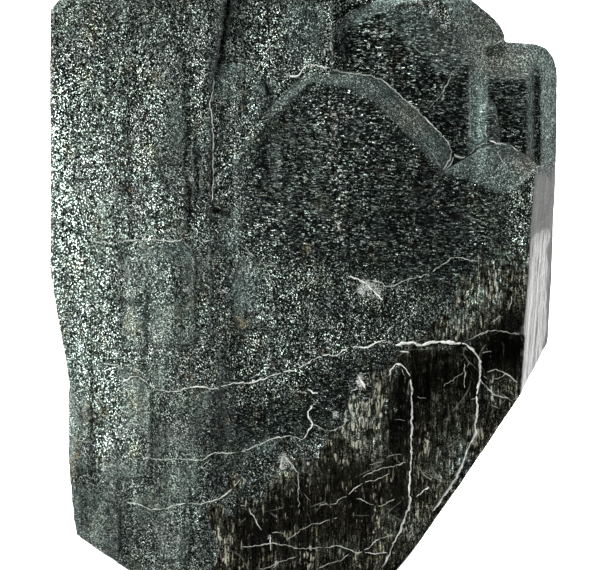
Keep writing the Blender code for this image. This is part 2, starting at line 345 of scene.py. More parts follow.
backCrystals = [
    dict(outline=[(-32, 0), (-42, 60), (-38, 176), (-24, 193), (6, 197), (22, 184), (27, 150), (22, 0)],
         setback=10.0, back=back, backBevel=(9.0, 7.0),
         planes=[((-42, 24, 60), (27, 29.5, 60), (-10, 27, 190))]),
    dict(outline=[(20, 10), (18, 160), (30, 182), (52, 186), (68, 170), (74, 120), (70, 72), (38, 22)],
         setback=10.0, back=back - 2.5, backBevel=(6.0, 8.0)),
    dict(outline=[(-50, 0), (-72, 30), (-76, 96), (-70, 134), (-58, 150), (-38, 146), (-30, 0)],
         setback=10.0, back=back - 1, backBevel=(7.0, 6.0),
         planes=[((-76, 22, 60), (-30, 29, 60), (-50, 25, 150))]),
    dict(outline=[(-20, 0), (-24, 52), (-10, 74), (14, 66), (22, 40), (20, 0)],
         setback=10.0, back=back + 0.6, backBevel=(5.0, 3.0)),
]

# Each group of crystals is one piece: its crystals, the spacing of its points, how far its carved front
# stands back, so that no two pieces share a plane, and the most triangles it keeps.
groups = {
    "leftSlab": (leftSlab, specimen["voxel"], 0.1, 190000),
    "archCrystal": (archCrystal, specimen["voxel"], 0.0, 190000),
    "rightCrystal": (rightCrystal, specimen["voxel"], 0.15, 165000),
    "steppedCrystals": (steppedCrystals, specimen["voxel"], 0.2, 140000),
    "middleRidge": (middleRidge, specimen["voxel"], 0.2, 70000),
    "backCrystals": (backCrystals, specimen["backVoxel"], 0.2, 120000),
}
everyCrystal = [growCrystal(**crystal) for group in groups.values() for crystal in group[0]]
wholeSkin = fuse("wholeSkin", everyCrystal, specimen["coarseVoxel"])


def readPoints(piece):
    places = np.empty(len(piece.data.vertices) * 3)
    piece.data.vertices.foreach_get("co", places)
    return places.reshape(-1, 3) / mm


def readNormals(piece):
    normals = np.empty(len(piece.data.vertices) * 3)
    piece.data.vertex_normals.foreach_get("vector", normals)
    return normals.reshape(-1, 3)


def writePoints(piece, places):
    piece.data.vertices.foreach_set("co", (places * mm).ravel())
    piece.data.update()


# A grid of 1 mm cubes that marks the outside of the whole specimen, so hidden walls stay plain.
gridStart = np.array([-100, -40, -10])
gridSize = (200, 80, 240)
outerCubes = np.zeros(gridSize, bool)
cubes = np.floor(readPoints(wholeSkin)).astype(int) - gridStart
for offset in itertools.product((-1, 0, 1), repeat=3):
    spots = cubes + offset
    outerCubes[spots[:, 0], spots[:, 1], spots[:, 2]] = True
bpy.data.objects.remove(wholeSkin)


def isOuter(places):
    spots = np.floor(places).astype(int) - gridStart
    return outerCubes[spots[:, 0], spots[:, 1], spots[:, 2]]


pieces = {}
for name, (crystals, voxel, lag, most) in groups.items():
    pieces[name] = fuse(name, [growCrystal(**crystal) for crystal in crystals], voxel)
report("crystals cut and fused")

# The lower right of the front broke away and shows fresh mineral with upright fibres.
fresh = {
    "outline": [(215, 620), (214, 512), (232, 490), (245, 472), (272, 460), (303, 450), (330, 442), (352, 426),
                (368, 402), (384, 378), (398, 352), (424, 338), (434, 304), (470, 276), (500, 257), (524, 240),
                (600, 230), (600, 620)],
    "depth": 1.6,
    "ragged": [((26, 34), 3, 20), ((6, 22), 4, 10)],   # noise that strays the edge, in squares
    "edge": (-26, 30),
    "fibres": [((0.8, 16.0), 51, 0.16), ((2.2, 34), 52, 0.16), ((1.4, 2.2), 53, 0.05)],
    "lowDepth": 0.6,       # right of the low panel's edge
    "lowEdge": (297.5, 299.5),
    "lowTop": (440, 475),
    "panelSoft": 0.8,      # softness of a panel's rim, in squares
    "behind": 30,          # how far back the break reaches, with the noise that strays it
    "behindNoise": [((17, 23), 93, 9), ((3, 7), 94, 5)],
    "behindSoft": 8,
}
panelMiddle = {            # the broad panel with a rounded top
    "outline": [(411, 346), (430, 344), (462, 343), (470, 348), (477, 356), (480, 370), (479, 388), (477, 410),
                (475, 433), (469, 447), (461, 467), (449, 488), (436, 507), (420, 532), (402, 560), (380, 595),
                (383, 567), (399, 532), (409, 501), (411, 457)],
    "depth": 0.6,
    "bevel": 2.5,
    "bevelDepth": 0.3,
}
panelLeft = {
    "fadeIn": (366, 392),
    "outline": [(386, 379), (392, 367), (398, 363), (404, 367), (411, 378), (411, 457), (409, 501), (399, 532),
                (383, 567), (366, 600), (330, 620), (352, 540), (374, 470), (384, 420)],
    "depth": -0.6,
    "bevel": 2.0,
    "bevelDepth": 0.4,
}
panelLow = {
    "fadeIn": (216, 262),
    "outline": [(214, 620), (214, 512), (232, 490), (262, 474), (281, 466), (290, 463), (296, 470), (298, 479),
                (299, 515), (299, 620)],
    "depth": -0.5,
    "bevel": 2.0,
    "bevelDepth": 0.4,
}
deepCorner = {
    "outline": [(462, 341), (480, 337), (500, 334), (523, 336), (600, 330), (600, 620), (340, 620), (399, 560),
                (436, 507), (461, 467), (475, 433), (479, 388), (480, 370), (477, 356), (470, 348)],
    "depth": 2.6,
}


def panelDepth(u, v, panel):
    def work(a, b):
        gap = depthInside(a, b, panel["outline"])
        face = smooth(gap, -fresh["panelSoft"], fresh["panelSoft"])
        faded = smooth(a, *panel["fadeIn"]) if "fadeIn" in panel else 1
        edge = 1 - np.clip(gap / panel["bevel"], 0, 1)
        return faded * face * (panel["depth"] + panel["bevelDepth"] * edge)
    return nearField(u, v, panel["outline"], 2, 0, work)


# How far the broken front lies behind the flat front, in millimetres.
def brokenDepth(u, v):
    ragged = layers((u, v), fresh["ragged"])
    gap = nearField(u, v, fresh["outline"], 60, -60, lambda a, b: depthInside(a, b, fresh["outline"]))
    depth = fresh["depth"] * smooth(gap + ragged, *fresh["edge"])
    low = smooth(u, *fresh["lowEdge"]) * smooth(v, *fresh["lowTop"])
    depth += fresh["lowDepth"] * low * smooth(gap, 0, 10)
    for panel in (panelMiddle, panelLeft, panelLow):
        depth += panelDepth(u, v, panel)
    corner = nearField(u, v, deepCorner["outline"], 3, -3,
                       lambda a, b: depthInside(a, b, deepCorner["outline"]))
    return depth + deepCorner["depth"] * smooth(corner, -1, 1)


# Places in the break where grainy skin grew again: place, size, strength.
regrowth = [
    ((452, 445), (24, 48), 0.95), ((350, 398), (34, 42), 1.0), ((262, 470), (28, 15), 0.8),
    ((414, 527), (20, 20), 0.9), ((496, 392), (17, 14), 0.9), ((430, 320), (44, 20), 1.0),
    ((303, 442), (18, 12), 0.9), ((388, 520), (9, 16), 0.7), ((335, 548), (40, 14), 0.4),
    ((474, 478), (20, 26), 0.9), ((492, 284), (34, 28), 0.95), ((448, 300), (30, 26), 0.9),
    ((300, 468), (26, 16), 0.6),
    ((250, 500), (22, 16), 0.5), ((372, 440), (26, 22), 0.6), ((470, 345), (9, 7), 0.8),
    ((436, 348), (30, 3), 0.9), ((512, 258), (30, 12), 0.9), ((448, 310), (10, 26), 0.6),
    ((222, 540), (12, 18), 0.5), ((395, 350), (8, 14), 0.8),
]


def regrown(u, v):
    return np.clip(blots(u, v, regrowth) * (0.85 + 0.35 * noise((u, v), (8, 15), 81)), 0, 1)


# Grooves and chips: (line, width in squares, depth in millimetres).
grooves = [
    ([(228, -6), (226, 10), (225, 25), (223, 40), (221, 55), (218, 66)], 3.2, 2.2),
    ([(218, 66), (214, 80), (212, 92), (209, 101), (210, 112), (212, 125), (212, 140), (212, 205)], 1.6, 0.5),
    ([(214, 211), (222, 212), (230, 216)], 5.5, 2.6),
    ([(264, 83), (266, 88), (267, 93)], 4.5, 2.4),
    ([(447, 82), (440, 96), (430, 109)], 2.2, 0.7),
    ([(350, 28), (351, 45), (352, 66)], 3.0, 0.6),
    ([(537, 195), (537.5, 206), (538, 218)], 2.0, 2.2),
    ([(196, 150), (197, 170), (198, 195)], 4.0, 1.2), ([(187, 178), (189, 190), (188, 205)], 3.5, 1.2),
    ([(166, 180), (168, 188)], 3.5, 1.0), ([(126, 186), (130, 196)], 3.0, 0.8),
    ([(344, 30), (346, 45), (348, 62)], 3.0, 1.2), ([(395, 298), (395, 320), (394, 338)], 1.6, 0.6),
    ([(120, 301), (133, 303), (148, 301)], 4.0, 0.45),
    ([(190, 185), (192, 200), (190, 215)], 6.0, 0.35),
    ([(46, 224), (52, 225), (57, 223)], 4.0, 1.0),
]
# Low crystals on the flat front: (outline, rise in millimetres, softness in squares).
growths = [
    ([(152, 345), (152, 262), (156, 248), (166, 243), (180, 242), (189, 248), (196, 260), (196, 345)],
     0.40, 1.4),
    ([(119, 478), (119, 392), (122, 384), (128, 379), (137, 376), (145, 381), (151, 389), (151, 478)],
     0.40, 1.4),
    ([(122, 350), (122, 292), (126, 287), (134, 285), (142, 288), (146, 294), (146, 350)], 0.30, 1.4),
    ([(213, 208), (213, 178), (217, 171), (224, 170), (230, 176), (231, 208)], 0.50, 1.0),
    ([(99, 240), (99, 120), (104, 96), (118, 88), (128, 100), (130, 240)], 0.28, 1.6),
    ([(156, 165), (156, 60), (162, 46), (174, 42), (184, 52), (186, 165)], 0.26, 1.6),
    ([(62, 470), (62, 330), (70, 318), (84, 316), (92, 330), (92, 470)], 0.30, 1.8),
    ([(236, 330), (236, 262), (243, 254), (256, 258), (266, 268), (276, 292), (278, 330)], 0.30, 1.4),
    ([(271, 190), (271, 124), (277, 132), (283, 142), (284, 190)], 0.35, 1.0),
    ([(338, 252), (338, 100), (343, 92), (349, 100), (349, 252)], 0.35, 1.6),
    ([(236, 112), (236, 34), (240, 28), (244, 34), (244, 112)], 0.35, 1.4),
    ([(305, 330), (305, 255), (315, 246), (328, 258), (336, 276), (336, 330)], 0.30, 1.6),
    ([(160, 560), (160, 474), (168, 466), (182, 465), (190, 476), (190, 560)], 0.28, 1.6),
    ([(86, 540), (86, 506), (96, 500), (112, 502), (120, 512), (120, 552)], 0.30, 1.6),
]
# Runs of fine level ribs: outline, height, and how much they darken the stone, as painted shade in the troughs,
# with the crests made lighter.
ribs = [
    ([(250, 150), (276, 116), (312, 92), (350, 86), (376, 100), (408, 134), (432, 160), (452, 176), (478, 184),
      (500, 200), (506, 250), (440, 292), (400, 276), (330, 262), (250, 250)], 0.20, 0.26),
    ([(352, 14), (400, 20), (445, 40), (468, 70), (470, 150), (456, 150), (432, 118), (404, 92), (372, 70),
      (352, 62)], 0.24, 0.8),
    ([(488, 78), (531, 78), (531, 152), (488, 145)], 0.22, 0.5),
    ([(196, 420), (300, 396), (330, 366), (392, 350), (380, 390), (330, 420), (300, 440), (200, 450)],
     0.12, 0.2),
]


# Heights are in millimetres. A layer is (lump size, seed, height).
relief = {
    "ribs": [((8.0, 0.95), 41, 0.8), ((3.5, 0.8), 42, 0.4)],
    "ribSoft": 14,         # softness of a run of ribs, in squares
    "growthRise": 1.5,
    "frontForm": [((24, 32), 11, 0.34), ((11, 26), 12, 0.16)],
    "streaks": [((4.4, 46), 13, 0.10), ((2.2, 17), 14, 0.10)],
    "skinStreaks": [((4.4, 46), 13, 0.12)],
    "plates": [((7.0, 30.0), 15, 0.40), ((2.6, 5.2), 21, 0.20)],
    "grain": [((1.5, 1.6), 31, 0.13), ((0.85, 0.9), 32, 0.17)],
    "paleGrain": 0.25,     # how much higher the grain is at the pale left edge
    "paleEdge": (130, 40),
    "pits": ((2.2, 3.4), 33, 0.50),
    "pitShare": (0.42, 0.8),
    "sideForm": [((17, 17, 28), 61, 0.45)],
    "sideStreaks": [((3.2, 3.2, 44), 62, 0.34), ((1.4, 1.4, 18), 63, 0.18)],
    "sideGrain": [((1.3, 1.3, 1.5), 64, 0.15), ((2.8, 2.8, 4.5), 65, 0.12)],
    "sidePits": ((3.6, 3.6, 6.0), 66, 0.40),
    "sidePitShare": (0.45, 0.85),
    "uprightTilt": (0.3, 0.8),
}


# Height of the level ribs, from -1 to 1.
def ribPattern(places):
    return layers((places[:, 0], places[:, 2]), relief["ribs"])


def pits(columns, layer, share):
    size, seed, depth = layer
    return smooth(noise(columns, size, seed), *share) * depth


# Front relief in millimetres towards the viewer, one formula for all the pieces so that they meet.
def frontRelief(places, u, v, broken):
    flat = (places[:, 0], places[:, 2])
    skin = 1 - broken
    height = layers(flat, relief["frontForm"] + relief["streaks"]) + layers(flat, relief["skinStreaks"]) * skin
    for size, seed, rise in relief["plates"]:
        height += (plates(flat, size, seed) - 0.5) * rise * skin
    height += layers(flat, relief["grain"]) * skin * (1 + relief["paleGrain"] * smooth(u, *relief["paleEdge"]))
    height -= pits(flat, relief["pits"], relief["pitShare"]) * skin
    for outline, rise, soft in growths:
        height += zone(u, v, outline, soft) * rise * relief["growthRise"]
    for outline, rise, darkness in ribs:
        height += zone(u, v, outline, relief["ribSoft"]) * rise * ribPattern(places)
    return height + broken * layers(flat, fresh["fibres"])


# Relief of every other face, along its own normal.
def sideRelief(places, normals):
    columns = (places[:, 0], places[:, 1], places[:, 2])
    upright = 1 - smooth(np.abs(normals[:, 2]), *relief["uprightTilt"])
    height = layers(columns, relief["sideForm"] + relief["sideGrain"])
    height += upright * layers(columns, relief["sideStreaks"])
    return height - pits(columns, relief["sidePits"], relief["sidePitShare"])


# Softens a value over the surface's neighbouring points.
def soften(piece, values, rounds):
    count = len(piece.data.vertices)
    pairs = np.empty(len(piece.data.edges) * 2, np.int32)
    piece.data.edges.foreach_get("vertices", pairs)
    pairs = pairs.reshape(-1, 2)
    shares = np.bincount(pairs.ravel(), minlength=count) + 1
    for turn in range(rounds):
        total = values + np.bincount(pairs[:, 0], values[pairs[:, 1]], count)
        total += np.bincount(pairs[:, 1], values[pairs[:, 0]], count)
        values = total / shares
    return values


def softenVectors(piece, vectors, rounds):
    return np.column_stack([soften(piece, vectors[:, axis], rounds) for axis in range(3)])


def writeField(piece, name, values):
    if name not in piece.data.attributes:
        piece.data.attributes.new(name, "FLOAT", "POINT")
    piece.data.attributes[name].data.foreach_set("value", values.astype(np.float32))


wearing = {
    "skinGap": 0.1,        # how far the carved front may stand before the flat front
    "archStep": 0.35,      # sets the arch's right end back from the crystal beside it
    "archEnd": (40, 50),
    "leastDepth": 0.02,
    "stray": [((5, 7), 91, 2.2), ((7, 5), 92, 2.2)],   # noise that strays the grooves, in squares
    "grooveFacing": (0.2, 0.8),
    "normalRounds": 3,
    "placeRounds": 2,
    "forward": (0.90, 0.985),          # share of a normal that points forwards
    "slanted": (0.25, 0.55),
    "notFront": (0.93, 0.98),
    "foot": (12, 30),                  # height over which facets begin
    "brokenDepth": (0.45, 1.25),
    "regrownShare": 0.7,
    "slantedCalm": 0.86,               # how much smoother a slanted face is
    "floor": (0.4, 3),
    "ridge": (0.02, 0.07),
    "ridgeCalm": 0.6,
    "prismSide": (0.55, 0.8),          # where a wide normal points right
    "prismStart": (70, 74),
    "prismTop": (160, 186),
    "prismCalm": 0.5,
    "cutWidth": 1.5,
    "facetDepth": (0.1, 0.8),
    "facetStart": (66, 96),
    "backStart": (0, 10),
    "backFacets": 0.5,
    "edge": (0.015, 0.06),
}


# Sinks the broken parts and the grooves into the front, and meshes the skin again.
def carve(piece, voxel, lag):
    places = readPoints(piece)
    u, v = toSheet(places)
    looksForward = -readNormals(piece)[:, 1]
    depth = brokenDepth(u, v)
    level = specimen["front"] - wearing["skinGap"] + depth + lag
    if piece.name == "archCrystal":
        level += wearing["archStep"] * smooth(places[:, 0], *wearing["archEnd"])
    low = depth > wearing["leastDepth"]
    places[:, 1] = np.where(low, np.maximum(places[:, 1], level), places[:, 1])
    strayed = [column + layers((u, v), [layer]) for column, layer in zip((u, v), wearing["stray"])]
    for line, width, sink in grooves:
        places[:, 1] += stroke(*strayed, line, width) * sink * smooth(looksForward, *wearing["grooveFacing"])
    writePoints(piece, places)
    applyModifier(piece, "skin", "REMESH", mode="VOXEL", voxel_size=voxel * mm)


# Adds the fine relief, and writes the fields that tell the material what each place is.
def engrave(piece):
    places = readPoints(piece)
    normals = readNormals(piece)
    u, v = toSheet(places)
    outer = isOuter(places)
    wide = softenVectors(piece, normals, wearing["normalRounds"])
    wide /= np.linalg.norm(wide, axis=1)[:, None]
    neighbours = softenVectors(piece, places, wearing["placeRounds"])
    convex = np.einsum("ij,ij->i", places - neighbours, wide)
    forward = smooth(-normals[:, 1], *wearing["forward"])
    facing = np.abs(normals[:, 1])
    slanted = smooth(facing, *wearing["slanted"]) * (1 - smooth(facing, *wearing["notFront"]))
    slanted *= smooth(places[:, 2], *wearing["foot"])
    deep = specimen["front"] + fresh["behind"] + layers((places[:, 0], places[:, 2]), fresh["behindNoise"])
    depth = brokenDepth(u, v)
    broken = smooth(depth, *wearing["brokenDepth"])
    broken *= smooth(deep - places[:, 1], -fresh["behindSoft"], fresh["behindSoft"])
    prism = smooth(wide[:, 0], *wearing["prismSide"]) * smooth(places[:, 0], *wearing["prismStart"])

    bare = broken * (1 - wearing["regrownShare"] * regrown(u, v))
    frontRise = frontRelief(places, u, v, bare) * forward * outer
    sideRise = sideRelief(places, normals) * (1 - forward) * (1 - wearing["slantedCalm"] * slanted) * outer
    sideRise *= smooth(places[:, 2], *wearing["floor"])
    sideRise *= 1 - smooth(convex, *wearing["ridge"]) * wearing["ridgeCalm"]
    sideRise *= 1 - wearing["prismCalm"] * prism
    moved = places + normals * sideRise[:, None]
    moved[:, 1] -= frontRise
    moved[:, 2] = np.maximum(moved[:, 2], 0)
    writePoints(piece, moved)

    groove = np.max([stroke(u, v, line, width * wearing["cutWidth"]) for line, width, sink in grooves], axis=0)
    facet = soften(piece, slanted, wearing["placeRounds"]) * (1 - smooth(depth, *wearing["facetDepth"]))
    facet *= (1 - groove) * smooth(u, *wearing["facetStart"])
    facet *= 1 - wearing["backFacets"] * smooth(places[:, 1], *wearing["backStart"])
    writeField(piece, "groove", groove)
    writeField(piece, "facet", facet)
    writeField(piece, "edge", smooth(convex, *wearing["edge"]) * outer)
    writeField(piece, "fresh", broken)
    writeField(piece, "prism", prism * smooth(v, *wearing["prismTop"]))


# Drops the points that flat stretches don't need.
def thin(piece, most):
    triangles = 2 * len(piece.data.polygons)
    if triangles > most:
        applyModifier(piece, "thinned", "DECIMATE", ratio=most / triangles)
    piece.data.calc_loop_triangles()
    print(piece.name, triangles, "to", len(piece.data.loop_triangles), "triangles")


for name, (crystals, voxel, lag, most) in groups.items():
    carve(pieces[name], voxel, lag)
    engrave(pieces[name])
    thin(pieces[name], most)
report("relief")

# Fields that colour the stone. Each holds (outline or place, strength).
smoothSkins = [            # smooth blue-grey growth faces within the flat front
    ([(284, 2), (322, 4), (326, 26), (318, 60), (300, 68), (286, 50)], 0.55),
    ([(446, 171), (457, 160), (485, 142), (512, 146), (538, 168), (522, 182), (503, 195), (478, 180)], 1.0),
    ([(214, 64), (236, 62), (236, 98), (214, 98)], 0.6),
    ([(240, 96), (272, 74), (282, 90), (250, 126), (236, 132)], 0.5),
    ([(476, 46), (556, 46), (556, 66), (532, 80), (480, 80)], 1.0),
    ([(384, 4), (430, 8), (466, 44), (470, 62), (450, 80), (436, 70), (410, 44), (386, 22)], 0.6),
    ([(221, 214), (240, 210), (240, 250), (222, 248)], 0.6),
    ([(231, 276), (262, 272), (262, 308), (234, 308)], 0.7),
    ([(203, 118), (212, 118), (212, 150), (203, 150)], 0.6),
    ([(166, 108), (184, 108), (184, 132), (166, 132)], 0.4),
    ([(240, 442), (278, 436), (276, 452), (246, 456)], 0.6),
    ([(152, 244), (192, 244), (188, 262), (152, 262)], 0.75),
    ([(142, 250), (152, 250), (152, 345), (142, 345)], 0.65),
    ([(470, 82), (487, 82), (487, 140), (470, 150)], 1.0),
]
toneAndLightBlots = [              # where the skin is paler or darker: place, size, change of tone
    # the first three spots, along the left edge, are partly painted highlight where light from the left catches
    # the skin
    ((72, 240), (34, 105), 0.12), ((60, 235), (14, 120), 0.22), ((66, 330), (22, 60), 0.20),
    ((92, 150), (60, 60), 0.06), ((300, 285), (60, 50), -0.03), ((361, 310), (30, 40), -0.04),
    ((365, 55), (26, 26), 0.07), ((350, 15), (34, 20), 0.09), ((205, 30), (20, 50), -0.05),
    ((120, 40), (30, 60), -0.06), ((172, 90), (30, 100), -0.06), ((130, 230), (30, 80), 0.13),
    ((100, 415), (34, 55), 0.34), ((150, 320), (45, 90), 0.12), ((260, 275), (45, 80), 0.05),
    ((110, 520), (60, 40), -0.05), ((212, 350), (20, 150), -0.10), ((205, 180), (20, 60), -0.10),
    ((318, 160), (44, 110), 0.09), ((290, 240), (50, 40), 0.05), ((380, 110), (50, 60), 0.06),
    ((513, 112), (22, 50), 0.16), ((361, 38), (40, 50), 0.10), ((390, 310), (24, 36), -0.05),
    ((410, 170), (75, 100), -0.05), ((245, 200), (24, 100), 0.05), ((430, 60), (60, 60), 0.03),
    ((500, 230), (40, 40), 0.06),
]
blackAndShadeBlots = [             # the blackest parts of the break: the mineral's own black, partly painted shade where the break lies deeper
    ((446, 386), (38, 42), 1.35), ((505, 352), (28, 24), 1.0), ((398, 425), (13, 45), 0.8),
    ((330, 500), (40, 24), 0.2), ((260, 545), (30, 20), 0.4), ((510, 300), (14, 30), 0.6),
]
quietBlots = [             # where the break is even, with few bright fibres
    ((446, 374), (34, 34), 1.0), ((398, 428), (14, 48), 0.9), ((372, 506), (38, 28), 0.9),
    ((340, 472), (34, 14), 0.8), ((262, 522), (24, 26), 0.8), ((302, 506), (20, 24), 0.6),
    ((440, 446), (26, 18), 0.5), ((320, 545), (50, 14), 0.5), ((505, 345), (26, 30), 0.8),
]
warmBlots = [              # where smooth faces are brownish
    ((412, 114), (18, 18), 1.0), ((526, 166), (14, 14), 1.0), ((502, 62), (30, 20), 0.8),
    ((488, 22), (22, 26), 0.6), ((440, 40), (20, 20), 0.4),
]
ochreBlots = [             # where ochre specks gather
    ((97, 415), (24, 45), 1), ((158, 75), (9, 16), 1), ((130, 187), (7, 10), 1), ((245, 92), (4, 12), 1),
    ((228, 420), (6, 14), 1), ((310, 250), (18, 12), 1), ((340, 232), (7, 16), 1), ((243, 320), (16, 16), 1),
    ((352, 285), (6, 6), 1), ((489, 189), (4, 4), 1), ((275, 265), (10, 2), 1), ((243, 104), (5, 10), 1),
    ((322, 200), (8, 6), 1), ((262, 195), (12, 4), 1), ((72, 465), (10, 40), 1), ((320, 350), (14, 8), 1),
    ((118, 295), (6, 10), 1), ((190, 378), (16, 10), 1),
]
creamFibres = [            # cream mineral between the fibres of the break
    ([(445, 300), (451, 300), (451, 344), (445, 344)], 1.1),
    ([(454, 296), (460, 296), (460, 344), (454, 344)], 1.2),
    ([(486, 270), (499, 268), (499, 300), (486, 302)], 1.0),
    ([(462, 298), (470, 298), (469, 330), (463, 330)], 1.0),
    ([(346, 400), (362, 376), (386, 368), (386, 410), (374, 440), (352, 456), (340, 430)], 0.85),
    ([(326, 430), (350, 424), (350, 466), (328, 466)], 0.6),
    ([(418, 438), (424, 426), (434, 430), (436, 456), (418, 456)], 1.0),
    ([(300, 546), (318, 546), (318, 580), (298, 580)], 1.0),
    ([(214, 530), (234, 534), (234, 570), (214, 566)], 0.9),
    ([(250, 498), (258, 498), (258, 520), (250, 520)], 0.8),
    ([(400, 512), (436, 500), (430, 530), (404, 548)], 0.8),
    ([(480, 376), (512, 376), (506, 402), (484, 410)], 0.8),
    ([(470, 434), (490, 418), (484, 440), (466, 468)], 1.0),
    ([(412, 452), (428, 456), (424, 476), (414, 470)], 0.7),
    ([(300, 446), (336, 446), (336, 480), (300, 480)], 0.4),
    ([(346, 520), (386, 500), (386, 540), (346, 545)], 0.6),
]
dustBlots = [              # spots and bands of pale mineral dust
    ((434, 12), (7, 10), 0.9), ((421, 3), (6, 4), 0.9), ((443, 26), (8, 4), 0.8), ((452, 92), (7, 10), 0.5),
    ((334, 118), (9, 28), 0.55), ((337, 172), (12, 46), 0.60), ((322, 196), (7, 14), 0.6),
    ((264, 194), (14, 5), 0.5), ((340, 232), (9, 26), 0.55), ((240, 68), (4, 42), 0.55),
    ((237, 200), (5, 44), 0.5),
    ((232, 30), (7, 30), 0.4), ((330, 48), (7, 22), 0.6), ((353, 50), (3, 22), 0.6),
    ((368, 288), (11, 9), 0.9), ((400, 290), (9, 6), 0.6), ((400, 268), (6, 4), 0.6),
    ((180, 212), (4, 5), 0.9), ((76, 190), (14, 8), 0.5), ((285, 459), (6, 10), 0.9),
    ((222, 290), (8, 8), 0.6), ((308, 306), (8, 12), 0.6), ((330, 262), (18, 7), 0.5),
    ((270, 52), (10, 8), 0.6), ((290, 76), (6, 3), 0.9), ((310, 66), (5, 3), 0.9),
    ((337, 414), (5, 4), 1.3), ((330, 410), (4, 3), 0.8), ((367, 405), (3, 4), 1.2), ((450, 398), (2, 4), 1.2),
    ((441, 402), (2, 2), 1.0), ((360, 380), (4, 9), 0.9), ((282, 462), (4, 8), 1.2), ((276, 563), (5, 5), 1.0),
    ((269, 536), (2, 4), 1.2), ((317, 507), (4, 4), 0.8), ((440, 348), (32, 3), 0.7),
    ((388, 344), (14, 5), 0.8),
    ((247, 462), (16, 8), 0.5), ((208, 497), (8, 6), 0.5), ((488, 77), (2, 2), 0.9), ((468, 107), (2, 3), 0.9),
    ((458, 155), (5, 4), 0.9),
    ((360, 385), (12, 14), 0.5), ((440, 425), (20, 18), 0.3), ((470, 480), (30, 30), 0.15),
    ((370, 289), (16, 12), 1.0), ((225, 300), (10, 4), 0.4),
    ((104, 362), (16, 4), 0.4), ((240, 334), (16, 4), 0.4), ((70, 210), (14, 60), 0.35),
]
dullBlots = [              # where slanted faces are as grainy as the skin
    ((237, 195), (12, 66), 1.0), ((262, 112), (34, 40), 0.95), ((226, 40), (12, 60), 0.8),
    ((304, 78), (34, 14), 0.45), ((395, 105), (60, 50), 0.20),
    ((212, 170), (10, 70), 0.9), ((335, 30), (14, 40), 0.5),
]
paintedFacetLights = [             # painted light: where smooth faces are painted paler as they catch the light, and darker where the added share is below zero: place, size, added share
    ((480, 118), (9, 50), 3.0), ((471, 118), (4, 50), -0.5), ((458, 104), (16, 50), 0.5),
    ((549, 110), (14, 70), 0.9), ((515, 62), (38, 18), 0.45), ((320, 30), (50, 40), 0.1),
    ((400, 10), (60, 26), 0.6), ((452, 40), (26, 50), 0.3), ((474, 170), (24, 18), -0.5),
    ((488, 24), (24, 30), -0.25),
]
roughPatches = [           # where the skin is pitted, or calm where the change is below zero
    ((110, 110), (75, 95), 0.45), ((66, 230), (20, 110), 0.35), ((200, 60), (50, 60), 0.20),
    ((250, 80), (30, 60), 0.30), ((90, 390), (24, 50), 0.20), ((130, 490), (75, 60), -0.28),
    ((160, 440), (60, 40), -0.10), ((150, 300), (32, 60), -0.10), ((160, 256), (34, 14), -0.35),
    ((300, 300), (80, 60), 0.20), ((300, 375), (70, 30), 0.35), ((360, 340), (40, 40), 0.30),
    ((341, 165), (9, 90), 0.50), ((400, 150), (50, 110), 0.28), ((212, 190), (24, 40), 0.30),
    ((215, 315), (20, 50), 0.30), ((60, 540), (60, 40), -0.30), ((245, 290), (24, 30), -0.35),
]


painting = {
    "frontOnly": (2, -6),  # the patches fade behind this Y
    "tone": 0.15,
    "leftPaleAndLit": 0.12,      # added left of the arch, partly paler stone and partly painted light from the left
    "leftEnd": (250, 190),
    "backTone": 0.04,
    "toneNoise": [((11, 150), 71, 0.34), ((4.5, 60), 72, 0.26)],
    "toneDrift": ((26, 30), 73, 0.12),
    "toneRange": (0.05, 2),
    "growthRim": 2.6,      # width of the dark line round a low crystal, in squares
    "growthShade": 0.5,
    "growthGlow": 0.18,
    "rough": 0.5,
    "rightRough": 0.28,
    "rightStart": (225, 265),
    "roughNoise": [((16, 34), 74, 0.35), ((6, 12), 75, 0.30)],
    "growthCalm": 0.22,
    "roughMost": 1.2,
    "rimSoft": 2,          # softness of the patches' edges, in squares
    "calmSoft": 4,
    "skinSoft": 4,
    "creamSoft": 3,
    "ribSoft": 22,
    "ribRange": (-0.5, 0.8),
}


